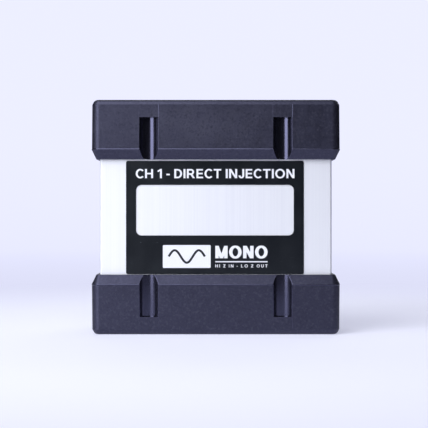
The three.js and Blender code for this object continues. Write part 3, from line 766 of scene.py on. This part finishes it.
def grip_groove(x, face, half_depth, sections):
    """The cutter of one groove, with the rounding of its long edges.

    sections has, for each level, how far the face has fallen away there.
    """
    lead, edge_steps, wall_steps = math.radians(6), 6, 40
    skins = []
    for z, inset in sections:
        surface = half_depth - inset
        rise = half_depth + GROOVE_HEIGHT - surface
        # The rounding is an arc inside the plastic that touches the face and the groove's wall.
        middle = math.sqrt((GROOVE_RADIUS + GROOVE_EDGE) ** 2 - (rise + GROOVE_EDGE) ** 2)
        last = math.atan2(rise + GROOVE_EDGE, -middle)
        first = math.pi / 2 - lead
        outline = [(middle + 2, surface + 1), (middle + 0.1, surface + 0.006)]
        for i in range(edge_steps + 1):
            angle = first + (last - first) * i / edge_steps
            outline.append((middle + GROOVE_EDGE * math.cos(angle),
                            surface - GROOVE_EDGE + GROOVE_EDGE * math.sin(angle)))
        start = last - math.pi
        for i in range(1, wall_steps):
            angle = start + (-math.pi - 2 * start) * i / wall_steps
            outline.append((GROOVE_RADIUS * math.cos(angle),
                            surface + rise + GROOVE_RADIUS * math.sin(angle)))
        half = len(outline) - (wall_steps - 1)
        outline += [(-u, v) for u, v in reversed(outline[:half])]
        skins.append(([(x + u, face * v) for u, v in outline], z))
    return loft(skins)


def witness_lines(x, face, ends, toward_right):
    """Fine ridges left by a mould insert, from the corners of a groove's closed end up to the rim.

    ends has the lower and the upper level with the height of the face there. Each ridge slopes gently on its
    left and steeply on its right, as the box is seen from the front.
    """
    half = math.sqrt((GROOVE_RADIUS + GROOVE_EDGE) ** 2 - (GROOVE_HEIGHT + GROOVE_EDGE) ** 2)
    proud, sunk = 0.045, 0.3
    lines = []
    for edge in (x - half, x + half):
        foot = edge - toward_right * 2.4 * (proud + sunk)
        back = edge + toward_right * 0.03
        lines.append(loft([([(foot, face * (level - sunk)), (back, face * (level - sunk)),
                             (edge, face * (level + proud))], z) for z, level in ends]))
    return lines


def span_in_end(node, end):
    """The lowest and highest level of a node, below the outer end of that end's bumper."""
    low, high = box_mm(node)
    tip = box_mm(f"{end}_bumper")[1].z if end == "output" else box_mm(f"{end}_bumper")[0].z
    return (low.z - tip, high.z - tip) if end == "output" else (tip - high.z, tip - low.z)


def pan_screw(node):
    """A pan-head screw with a cross recess and a rolled thread. Its zero is the seat of the head."""
    small = size_mm(node).x < 6
    head, high, shank, length = (2.7, 1.8, 1.25, 5.4) if small else (3.4, 2.4, 1.4, 13.9)
    recess = 1.5 if small else 1.9
    end = end_of(node)
    low_corner, high_corner = box_mm(node)
    tip = high_corner.z if end == "output" else low_corner.z
    centre = centre_mm(node)
    seat = tip - high if end == "output" else tip + high
    pitch = 0.7
    profile = [(0, -length), (shank * 0.5, -length)]
    turns = int((length - 1.2) / pitch)
    for i in range(turns):
        z = -length + 0.5 + i * pitch
        profile += [(shank * 0.8, z), (shank, z + pitch / 2)]
    profile += [(shank * 0.85, -0.4), (shank, 0), (head - 0.12, 0), (head, 0.12)]
    dome_steps = 7
    for i in range(dome_steps + 1):
        angle = i / dome_steps * math.pi / 2
        profile.append((0 if i == dome_steps else head * math.cos(angle) ** 0.75,
                        high * 0.4 + high * 0.6 * math.sin(angle)))
    body = turned(profile, 40)
    arm = 0.3 * recess
    slots = []
    for turn in (0, math.pi / 2):
        deep, wide = [[(-x, -y), (x, -y), (x, y), (-x, y)]
                      for x, y in ((recess * 0.55, arm * 0.6), (recess * 1.1, arm))]
        slots.append(moved(loft([(deep, high * 0.3), (wide, high + 0.1)]), Matrix.Rotation(turn, 4, "Z")))
    cut(body, *slots)
    soften(body, 0.05, 1, 40)
    spin = Matrix.Rotation(random.uniform(0, math.pi / 2), 4, "Z")
    place = Matrix.Translation((centre.x, centre.y, seat)) @ OUTWARD[end] @ spin
    piece(f"{node}_threaded", body, place, BLACK_ZINC, [node], smooth_angle=38)


def sleeve():
    """The extruded sleeve with rounded corners, screw channels and board guides."""
    size = size_mm("sleeve")
    low, high = box_mm("sleeve")
    wall, guide = 2, 2.4
    inner = (size.x - 2 * wall, size.y - 2 * wall)
    span = (low.z, high.z)
    beyond = (low.z - 1, high.z + 1)
    body = prism(rounded_rect(size.x, size.y, 1, 8), *span)
    cut(body, prism(rounded_rect(*inner, 0.5, 4), *beyond))
    screws = [centre_mm(f"output_bumper_screw_{i}") for i in (1, 2, 3, 4)]
    ports = [rod(3.4, *span, (s.x, s.y), 40) for s in screws]
    board_low, board_high = box_mm("circuit_board")
    guides = []
    for side in (-1, 1):
        x = sorted((side * (inner[0] / 2 - guide), side * (inner[0] / 2 + 0.5)))
        for y in ((board_low.y - 1.3, board_low.y - 0.1), (board_high.y + 0.1, board_high.y + 1.3)):
            guides.append(block(x, y, span))
    joined(body, *ports, *guides)
    bores = [rod(1.5, *beyond, (s.x, s.y), 32) for s in screws]
    mouths = [block(sorted((s.x, s.x - math.copysign(4.4, s.x))), (s.y - 0.8, s.y + 0.8), beyond)
              for s in screws]
    cut(body, *bores, *mouths)
    soften(body, 0.12, 2, 30)
    piece("sleeve_extrusion", body, Matrix.Identity(4), ALUMINIUM, ["sleeve"], smooth_angle=38)


# ---------------------------------------------------------------- lettering

STEM, BAR = 0.2, 0.17  # thickness of upright and level strokes, in cap heights
LETTER_SPACE, WORD_SPACE = 0.14, 0.18


def stroke(left, foot, right, head):
    return [[(left, foot), (right, foot), (right, head), (left, head)]]


def slant(foot, head, low=0, high=1, wide=STEM):
    """A leaning stroke: its left edge runs from foot at the low level to head at the high level."""
    return [[(foot, low), (foot + wide, low), (head + wide, high), (head, high)]]


def bow(x, y, width, height, start, end, steps=20):
    """Part of an oval ring about a centre, between two angles. Its outer size is width by height, halved."""
    angles = [math.radians(start + (end - start) * i / steps) for i in range(steps + 1)]
    outer = [(x + width * math.cos(a), y + height * math.sin(a)) for a in angles]
    inner = [(x + (width - STEM) * math.cos(a), y + (height - BAR) * math.sin(a)) for a in angles]
    return [[outer[i], outer[i + 1], inner[i + 1], inner[i]] for i in range(steps)]


UPRIGHT = stroke(0, 0, STEM, 1)
BOWL = stroke(0.2, 0.83, 0.44, 1) + stroke(0.2, 0.37, 0.44, 0.54) + bow(0.44, 0.685, 0.3, 0.315, -90, 90)
GLYPHS = {
    "A": slant(0, 0.34) + slant(0.68, 0.34) + stroke(0.2, 0.2, 0.68, 0.36),
    "C": bow(0.46, 0.5, 0.46, 0.52, 42, 318),
    "D": (UPRIGHT + stroke(0.2, 0, 0.36, 0.17) + stroke(0.2, 0.83, 0.36, 1)
          + bow(0.36, 0.5, 0.44, 0.5, -90, 90)),
    "E": UPRIGHT + stroke(0.2, 0, 0.68, 0.17) + stroke(0.2, 0.42, 0.64, 0.59) + stroke(0.2, 0.83, 0.67, 1),
    "F": UPRIGHT + stroke(0.2, 0.4, 0.6, 0.57) + stroke(0.2, 0.83, 0.65, 1),
    "G": bow(0.48, 0.5, 0.48, 0.52, 42, 322) + stroke(0.5, 0.36, 0.94, 0.52) + stroke(0.75, 0.12, 0.94, 0.4),
    "H": UPRIGHT + stroke(0.62, 0, 0.82, 1) + stroke(0.2, 0.42, 0.62, 0.59),
    "I": UPRIGHT,
    "J": stroke(0.38, 0.3, 0.58, 1) + bow(0.29, 0.3, 0.29, 0.32, 180, 360),
    "K": UPRIGHT + [[(0.2, 0.3), (0.86, 1), (0.6, 1), (0.2, 0.57)],
                    [(0.64, 0), (0.88, 0), (0.52, 0.62), (0.34, 0.46)]],
    "L": UPRIGHT + stroke(0.2, 0, 0.66, 0.17),
    "M": UPRIGHT + slant(0.39, 0, 0, 1, 0.2) + slant(0.39, 0.78, 0, 1, 0.2) + stroke(0.78, 0, 0.98, 1),
    "N": UPRIGHT + slant(0.6, 0, 0, 1, 0.22) + stroke(0.62, 0, 0.82, 1),
    "O": bow(0.5, 0.5, 0.5, 0.52, 0, 360, 40),
    "P": UPRIGHT + BOWL,
    "R": UPRIGHT + BOWL + slant(0.6, 0.34, 0, 0.42, 0.23),
    "T": stroke(0, 0.83, 0.76, 1) + stroke(0.28, 0, 0.48, 1),
    "U": stroke(0, 0.36, 0.2, 1) + stroke(0.6, 0.36, 0.8, 1) + bow(0.4, 0.37, 0.4, 0.39, 180, 360),
    "Z": stroke(0, 0, 0.72, 0.17) + stroke(0, 0.83, 0.72, 1) + slant(0, 0.46, 0.08, 0.92, 0.26),
    "0": bow(0.33, 0.5, 0.33, 0.51, 0, 360, 32),
    "1": stroke(0.24, 0, 0.43, 1) + [[(0, 0.66), (0.3, 0.78), (0.3, 1), (0, 0.84)]],
    "2": bow(0.32, 0.69, 0.32, 0.32, -35, 165) + slant(0, 0.37, 0.1, 0.6, 0.25) + stroke(0, 0, 0.66, 0.17),
    "-": stroke(0, 0.32, 0.34, 0.49),
}


def lettering(text, cap_height, width, thickness=0.02, space=LETTER_SPACE, heavy=0.0):
    """Flat capitals in the XY plane, centred on zero and rising along +Z, set to a height and a width.

    heavy widens the upright strokes on both sides, in cap heights.
    """
    quads, pen = [], 0
    for letter in text:
        drawn = [[(pen + x + nudge, y - 0.5) for x, y in corners]
                 for corners in GLYPHS.get(letter, ()) for nudge in ((-heavy, 0, heavy) if heavy else (0,))]
        pen = space + (max(x for quad in drawn for x, _ in quad) if drawn else pen + WORD_SPACE)
        quads += drawn
    left, right = min(x for quad in quads for x, _ in quad), pen - space
    quads = [[Vector((x - (left + right) / 2, y)) for x, y in quad] for quad in quads]

    def inked(spot):
        return any(all((b - a).cross(spot - a) > 0 for a, b in zip(quad, quad[1:] + quad[:1]))
                   for quad in quads)

    # The strokes overlap. One sheet of triangles is laid over them all, and those that no stroke covers go.
    spots, _, faces, *_ = delaunay_2d_cdt([corner for quad in quads for corner in quad], [],
                                          [range(i * 4, i * 4 + 4) for i in range(len(quads))], 0, 1e-4)
    shape = bmesh.new()
    corners = [shape.verts.new((x * width / (right - left), y * cap_height, 0)) for x, y in spots]
    for face in faces:
        if inked(sum((spots[i] for i in face), Vector((0, 0))) / 3):
            shape.faces.new([corners[i] for i in face])
    bmesh.ops.delete(shape, geom=[v for v in shape.verts if not v.link_faces], context="VERTS")
    raised = bmesh.ops.extrude_face_region(shape, geom=shape.faces[:])["geom"]
    top = [v for v in raised if isinstance(v, bmesh.types.BMVert)]
    bmesh.ops.translate(shape, vec=(0, 0, thickness), verts=top)
    return solid(shape)


def face_label():
    low, high = box_mm("face_label")
    size = high - low
    centre = (low + high) / 2
    # The label's own frame: its zero is the middle of its outer face, and +Z points out of the box.
    place = Matrix.Translation((centre.x, low.y, centre.z)) @ Matrix.Rotation(math.pi / 2, 4, "X")
    window = prism(rounded_rect(78.5, 25.2, 2.75, 12), -1, 1)
    window_rise = 3.65  # of the window's middle over the label's
    moved(window, Matrix.Translation((0, window_rise, 0)))
    film = cut(prism(rounded_rect(size.x, size.z, 1, 8), -size.y, 0), window)
    soften(film, 0.06, 2, 30)
    piece("label_print_film", film, place, LABEL_FILM, ["face_label"])

    ink = 0.02
    over = Matrix.Translation((0, 0, 0.005))

    def printed(name, made, x, y, material):
        piece(name, moved(made, over @ Matrix.Translation((x, y, 0))), place, material, ["face_label"],
              stands_for=False)

    printed("label_title", lettering("CH 1 - DIRECT INJECTION", 4.6, 79.0, ink), 0.1, 21.85, WHITE_INK)
    badge = (-14.0, -19.4)
    printed("label_badge", prism(rounded_rect(23.8, 11.4, 0.5), 0, ink), *badge, WHITE_INK)
    wave_points, periods, half = 48, 1.5, 0.55  # half is half the line's thickness
    wave = [(-9 + 18 * i / wave_points, 3.1 * math.sin(2 * math.pi * i / wave_points * periods))
            for i in range(wave_points + 1)]
    upper, lower = [], []
    for i, (x, y) in enumerate(wave):
        ahead, behind = wave[min(i + 1, wave_points)], wave[max(i - 1, 0)]
        along = Vector((ahead[0] - behind[0], ahead[1] - behind[1])).normalized()
        upper.append((x - along.y * half, y + along.x * half))
        lower.append((x + along.y * half, y - along.x * half))
    printed("label_badge_wave", prism(lower + upper[::-1], ink, 2 * ink), *badge, BLACK_INK)
    printed("label_word", lettering("MONO", 6.2, 26, ink, 0.18, 0.05), 13.2, -17.2, WHITE_INK)
    printed("label_rule", block((-13, 13), (-0.3, 0.3), (0, ink)), 13.2, -22.0, WHITE_INK)
    printed("label_note", lettering("HI Z IN - LO Z OUT", 1.5, 26, ink, 0.42), 13.2, -24.1, WHITE_INK)


# ---------------------------------------------------------------- connectors

def xlr():
    place = on_panel("xlr_shell")
    size = size_mm("xlr_shell")
    low, high = span_on_panel("xlr_shell")
    bore, outer, seat_low = 9.6, 11.6, -14
    flange_top = high - 0.8
    flange = prism(rounded_rect(size.x, size.y, 2, 8), 0.05, flange_top)
    tube = rod(outer, low, 0.5, steps=96)
    rim = turned([(0, flange_top - 0.5), (11.2, flange_top - 0.5), (11.2, flange_top + 0.5), (10.9, high),
                  (0, high)], 96)
    screws = [(centre_mm(f"xlr_screw_{i}") - centre_mm("xlr_shell"))[:2] for i in (1, 2)]
    shell = joined(flange, tube, rim)
    hollow = turned([(0, seat_low), (bore, seat_low), (bore, high - 0.5), (bore + 0.5, high + 0.01),
                     (0, high + 0.01)], 96)
    back = rod(10.2, low - 1, seat_low, steps=96)
    cut(shell, hollow, back, *[rod(1.5, 0, high, spot, 32) for spot in screws])
    key = block((-1.1, 1.1), (-bore - 0.5, -bore + 1.3), (seat_low, flange_top - 1))
    joined(shell, key)
    cut(shell, block((-2.6, 2.6), (-bore - 1.2, -bore + 0.8), (-6.5, -3.5)))
    soften(shell, 0.12, 2, 30)
    piece("xlr_shell_cast", shell, place, NICKEL, ["xlr_shell"], smooth_angle=38)

    pins = [centre_mm(f"xlr_pin_{i}") - centre_mm("xlr_shell") for i in (1, 2, 3)]
    bottom, top = span_on_panel("xlr_insert")
    radius = size_mm("xlr_insert").x / 2
    insert = rod(radius, bottom, top, steps=96)
    # Each pin stands in a shallow dish.
    cut(insert, *[rod(1.29, bottom - 1, top + 1, (p.x, p.y), 32) for p in pins],
        *[turned_dish(p, top) for p in pins])
    soften(insert, 0.08, 2, 30)
    piece("xlr_insert_moulding", insert, place, CONNECTOR, ["xlr_insert"])
    for i in (1, 2, 3):
        low, high = span_on_panel(f"xlr_pin_{i}")
        r = size_mm(f"xlr_pin_{i}").x / 2
        cup = r * 0.65
        profile = [(0, low + 2.5), (cup, low + 2.5), (cup, low), (r, low), (r, low + 3.4),
                   (r * 0.86, low + 3.6), (r * 0.86, low + 4), (r, low + 4.2), (r, high - r)]
        tip_steps = 8
        for step in range(1, tip_steps + 1):
            angle = step / tip_steps * math.pi / 2
            profile.append((0 if step == tip_steps else r * math.cos(angle), high - r + r * math.sin(angle)))
        pin = turned(profile, 48)
        cut(pin, block((-0.4, 0.4), (0, r + 1), (low - 1, low + 2)))
        soften(pin, 0.04, 1, 40)
        piece(f"xlr_pin_{i}_turned", pin, on_panel(f"xlr_pin_{i}"), GOLD, [f"xlr_pin_{i}"], smooth_angle=40)


def turned_dish(pin, top):
    dish = turned([(0, top - 0.35), (1.7, top - 0.35), (2.0, top + 0.1), (0, top + 0.1)], 40)
    return moved(dish, Matrix.Translation((pin.x, pin.y, 0)))


def jack(name):
    place = on_panel(f"{name}_jack_nut")
    bore = 3.3
    low, high = span_on_panel(f"{name}_jack_washer")
    outer = size_mm(f"{name}_jack_washer").x / 2
    hole = 4.8
    washer = turned_ring([(hole, low), (outer - 0.12, low), (outer, low + 0.12), (outer, high - 0.12),
                          (outer - 0.12, high), (hole, high)], 72)
    piece(f"{name}_jack_washer_stamped", washer, place, NICKEL, [f"{name}_jack_washer"])

    low, high = span_on_panel(f"{name}_jack_nut")
    nut_size = size_mm(f"{name}_jack_nut")
    corner = max(nut_size.x, nut_size.y) / 2
    turn = 0 if nut_size.x > nut_size.y else math.pi / 6
    flat = corner * math.cos(math.pi / 6)
    nut = prism(circle(corner, 6, turn=turn), low, high)
    drop = (corner - flat + 0.3) * 0.55
    dome = turned([(0, low), (flat, low), (corner + 0.3, low + drop), (corner + 0.3, high - drop),
                   (flat, high), (0, high)], 96)
    common(nut, dome)
    cut(nut, turned([(0, low - 0.1), (hole + 0.45, low - 0.1), (hole, low + 0.35), (hole, high - 0.35),
                     (hole + 0.45, high + 0.1), (0, high + 0.1)], 64))
    soften(nut, 0.06, 2, 25)
    piece(f"{name}_jack_nut_milled", nut, place, NICKEL, [f"{name}_jack_nut"], smooth_angle=25)

    low, high = span_on_panel(f"{name}_jack_bushing")
    radius = size_mm(f"{name}_jack_bushing").x / 2
    pitch, crest = 0.75, 0.32
    profile = [(bore, low), (radius - 0.3, low)]
    for i in range(int((high - low - 1.1) / pitch)):
        z = low + 0.3 + i * pitch
        profile += [(radius - crest, z), (radius, z + pitch * 0.45), (radius, z + pitch * 0.55)]
    profile += [(radius - 0.5, high - 0.05), (radius - 0.65, high), (bore + 0.55, high), (bore, high - 0.5)]
    bushing = turned_ring(profile, 72)
    piece(f"{name}_jack_bushing_threaded", bushing, place, NICKEL, [f"{name}_jack_bushing"], smooth_angle=35)


def lever(switch):
    """The switch's knob with its ribbed top, over the slider block that it is part of."""
    node = f"{switch}_switch_lever"
    low, high = span_on_panel(node)
    place = on_panel(node)
    shoulder = span_on_panel(f"{switch}_switch_frame")[0] + 7.4 - 0.1
    slider = block((-6, 6), (-5.2, 5.2), (low, shoulder))
    knob = block((-2.25, 2.25), (-2.1, 2.1), (shoulder - 2, high))
    body = joined(slider, knob)
    ribs = [moved(block((-0.22, 0.22), (-3, 3), (-0.5, 1)), Matrix.Translation((step * 0.95, 0, high)))
            for step in (-1.5, -0.5, 0.5, 1.5)]
    cut(body, *ribs)
    soften(body, 0.12, 2, 30)
    piece(f"{switch}_knob", body, place, CONNECTOR, [node])


# ---------------------------------------------------------------- legends on the panels

def legend(name, end, text, x, y, cap_height, width):
    """A printed word on a panel. x and y are in the box's frame."""
    made = lettering(text, cap_height, width)
    local = Matrix.Translation((x, y, panel_face(end))) @ OUTWARD[end]
    piece(name, moved(made, Matrix.Translation((0, 0, 0.005))), local, LEGEND_INK, [f"{end}_panel"],
          stands_for=False)


def legends():
    out = centre_mm("ground_lift_switch_frame").x
    legend("legend_output", "output", "OUTPUT", centre_mm("xlr_shell").x - 22.5, 0, 2, 11)
    legend("legend_ground", "output", "GROUND", out, 8.6, 2, 11.5)
    legend("legend_lift", "output", "LIFT", out + 7.6, -7.4, 1.7, 5.4)
    legend("legend_join", "output", "JOIN", out - 7.6, -7.4, 1.7, 5.8)
    legend("legend_input", "input", "INPUT", centre_mm("input_jack_nut").x, 11.6, 2, 9)
    legend("legend_link", "input", "LINK", centre_mm("link_jack_nut").x, 11.6, 2, 7.4)
    pad = centre_mm("pad_switch_frame").x
    legend("legend_pad", "input", "PAD", pad, 8.6, 2, 6.4)
    legend("legend_pad_off", "input", "0", pad + 7.6, -7.4, 1.8, 1.4)
    legend("legend_pad_on", "input", "-20", pad - 7.6, -7.4, 1.8, 4)


# ---------------------------------------------------------------- circuit board

WIRE_RADIUS = 0.3


def board_place():
    """The board's own frame: X as in the box, Y up the box, and Z out of the component side."""
    face = box_mm("circuit_board")[0].y
    return Matrix.Translation((0, face, 0)) @ Matrix.Rotation(math.pi / 2, 4, "X")


def on_board(node):
    centre = centre_mm(node)
    return board_place() @ Matrix.Translation((centre.x, centre.z, 0))


def winding():
    """The taped coil: it bulges between the bobbin's flanges, with the wraps' edges showing."""
    node = "transformer_winding"
    low, high = box_mm(node)
    size = high - low
    face = box_mm("circuit_board")[0].y
    bottom, top = face - high.y, face - low.y
    core = size_mm("transformer_bobbin")
    steps = 12
    sections = []
    for i in range(steps + 1):
        t = i / steps
        bulge = 0.35 * (1 - (2 * t - 1) ** 2) + 0.06 * (i % 2)
        outline = rounded_rect(size.x - 0.9 + 2 * bulge, size.z - 0.9 + 2 * bulge, 1.6)
        sections.append((outline, bottom + (top - bottom) * t))
    coil = loft(sections)
    tube = prism(rounded_rect(9.4, core.z - 8.4, 0.3), bottom - 1, top + 1)
    cut(coil, tube)
    soften(coil, 0.1, 2, 40)
    piece("transformer_coil", coil, on_board(node), TAPE, [node])


def resistor(node):
    """A metal film resistor: a dog-bone body with colour bands on bent wires."""
    place = on_board(node)
    lift = 1.8
    half, r = 3.3, 1.25
    end = [(0, -half), (0.45, -half), (0.85, -3.1), (1.12, -2.85), (r, -2.4), (r, -2.0), (1.12, -1.6),
           (1.0, -1.2)]
    profile = end + [(radius, -x) for radius, x in reversed(end)]
    lie = Matrix.Translation((0, 0, lift)) @ Matrix.Rotation(math.pi / 2, 4, "Y")
    body = moved(turned(profile, 40), lie)
    piece(f"{node}_body", body, place, LACQUER, [node], smooth_angle=60)
    for i, (x, color) in enumerate(zip((-2.2, -0.8, -0.1, 0.6, 2.2), BAND_COLORS)):
        radius = (r if abs(x) > 2 else 1.0) + 0.02
        band = moved(turned_ring([(radius - 0.1, x - 0.18), (radius, x - 0.18), (radius, x + 0.18),
                                  (radius - 0.1, x + 0.18)], 40), lie)
        piece(f"{node}_band_{i + 1}", band, place, color, [node], stands_for=False)
    for name, side in ((f"{node}_wire", -1), (f"{node}_wire_right", 1)):
        bend = [(5, 0.2), (5, lift - 0.5), (4.6, lift), (half - 0.1, lift)]
        wire(name, [(side * x, 0, z) for x, z in bend], place, node)


def wire(name, points, place, node):
    """A component's round wire through points, closed at both ends."""
    curve = bpy.data.curves.new("wire", "CURVE")
    curve.dimensions = "3D"
    curve.bevel_depth = WIRE_RADIUS
    curve.bevel_resolution = 5
    curve.use_fill_caps = True
    spline = curve.splines.new("NURBS")
    spline.points.add(len(points) - 1)
    for point, co in zip(spline.points, points):
        point.co = (*co, 1)
    spline.order_u = 3
    spline.use_endpoint_u = True
    spline.resolution_u = 8
    shape = bmesh.new()
    shape.from_mesh(mesh_of(bpy.data.objects.new("wire", curve)))
    bmesh.ops.remove_doubles(shape, verts=shape.verts, dist=0.0005)
    piece(name, solid(shape), place, SOLDER, [node], stands_for=False, smooth_angle=50)


def capacitor():
    """A dipped film capacitor, rounded all over."""
    node = "filter_capacitor"
    place = on_board(node)
    sections = []
    steps = 10
    for i in range(steps + 1):
        t = i / steps * math.pi
        shrink = 1 - math.sin(t) ** 0.45
        sections.append((rounded_rect(7.2 - 1.9 * shrink, 3 - 1.9 * shrink, 0.55 + 0.3 * (1 - shrink)),
                         4.5 - 3.5 * math.cos(t)))
    piece(f"{node}_body", loft(sections), place, EPOXY, [node], smooth_angle=70)
    for i, x in enumerate((-2.5, 2.5)):
        wire(f"{node}_wire_{i + 1}", [(x, 0, 0.2), (x, 0, 0.9), (x, 0, 1.8)], place, node)


def solder_joints():
    """A cone of solder on the back of the board under each component wire."""
    low, high = box_mm("circuit_board")
    thickness = high.y - low.y
    spots = []
    for i in (1, 2, 3):
        centre = centre_mm(f"pad_resistor_{i}")
        spots += [(centre.x - 5, centre.z), (centre.x + 5, centre.z)]
    centre = centre_mm("filter_capacitor")
    spots += [(centre.x - 2.5, centre.z), (centre.x + 2.5, centre.z)]
    place = board_place()
    profile = [(0, -1.1), (0.3, -1.05), (0.38, -0.6), (0.6, -0.25), (1, -0.02), (1, 0.03), (0, 0.03)]
    for i, (x, y) in enumerate(spots):
        cone = moved(turned(profile, 24), Matrix.Translation((x, y, -thickness)))
        piece(f"solder_joint_{i + 1}", cone, place, SOLDER, ["circuit_board"], stands_for=False,
              smooth_angle=60)


BAND_COLORS = [print_ink(f"band_{name}", color) for name, color in (
    ("brown", (0.12, 0.035, 0.015)), ("black", (0.01, 0.01, 0.01)), ("black_two", (0.01, 0.01, 0.01)),
    ("orange", (0.7, 0.18, 0.02)), ("brown_two", (0.12, 0.035, 0.015)))]


# ---------------------------------------------------------------- CAD nodes that stay

def keep_node(node, material, width=0.15, segments=2):
    """A CAD node whose shape is right keeps its mesh, with its flat faces merged and its edges rounded."""
    kept = frame["nodes"][node]
    merge = kept.modifiers.new("merge", "DECIMATE")
    merge.decimate_type = "DISSOLVE"
    merge.angle_limit = math.radians(1)
    bevel = kept.modifiers.new("round", "BEVEL")
    bevel.width = width * MM
    bevel.segments = segments
    bevel.limit_method = "ANGLE"
    bevel.angle_limit = math.radians(35)
    kept.data.materials.clear()
    kept.data.materials.append(material)
    smooth(kept, 30)


KEPT = {
    "output_panel": (POWDER_COAT, 0.12), "input_panel": (POWDER_COAT, 0.12),
    "circuit_board": (BOARD_MASK, 0.05),
    "xlr_nut_1": (NICKEL, 0.12), "xlr_nut_2": (NICKEL, 0.12), "ground_lug": (NICKEL, 0.08),
    "transformer_core": (LAMINATIONS, 0.06), "transformer_bobbin": (BOBBIN, 0.1),
    "transformer_strap": (NICKEL, 0.1),
}
for name in ("input", "link"):
    KEPT[f"{name}_jack_body"] = (CONNECTOR, 0.25)
    KEPT[f"{name}_jack_tip_spring"] = (NICKEL, 0.06)
for name in ("ground_lift", "pad"):
    KEPT[f"{name}_switch_frame"] = (NICKEL, 0.1)
    KEPT[f"{name}_switch_base"] = (PHENOLIC, 0.06)
    KEPT[f"{name}_switch_contact"] = (NICKEL, 0.08)


# ---------------------------------------------------------------- the whole box

random.seed(7)
for end in ("output", "input"):
    bumper(end)
sleeve()
face_label()
for node in sorted(frame["nodes"]):
    if "screw" in node:
        pan_screw(node)
xlr()
for name in ("input", "link"):
    jack(name)
for name in ("ground_lift", "pad"):
    lever(name)
legends()
winding()
for number in (1, 2, 3):
    resistor(f"pad_resistor_{number}")
capacitor()
solder_joints()
for node, (material, width) in KEPT.items():
    keep_node(node, material, width)
for node, material in INSULATION.items():
    keep_node(node, material, 0.02, 1)
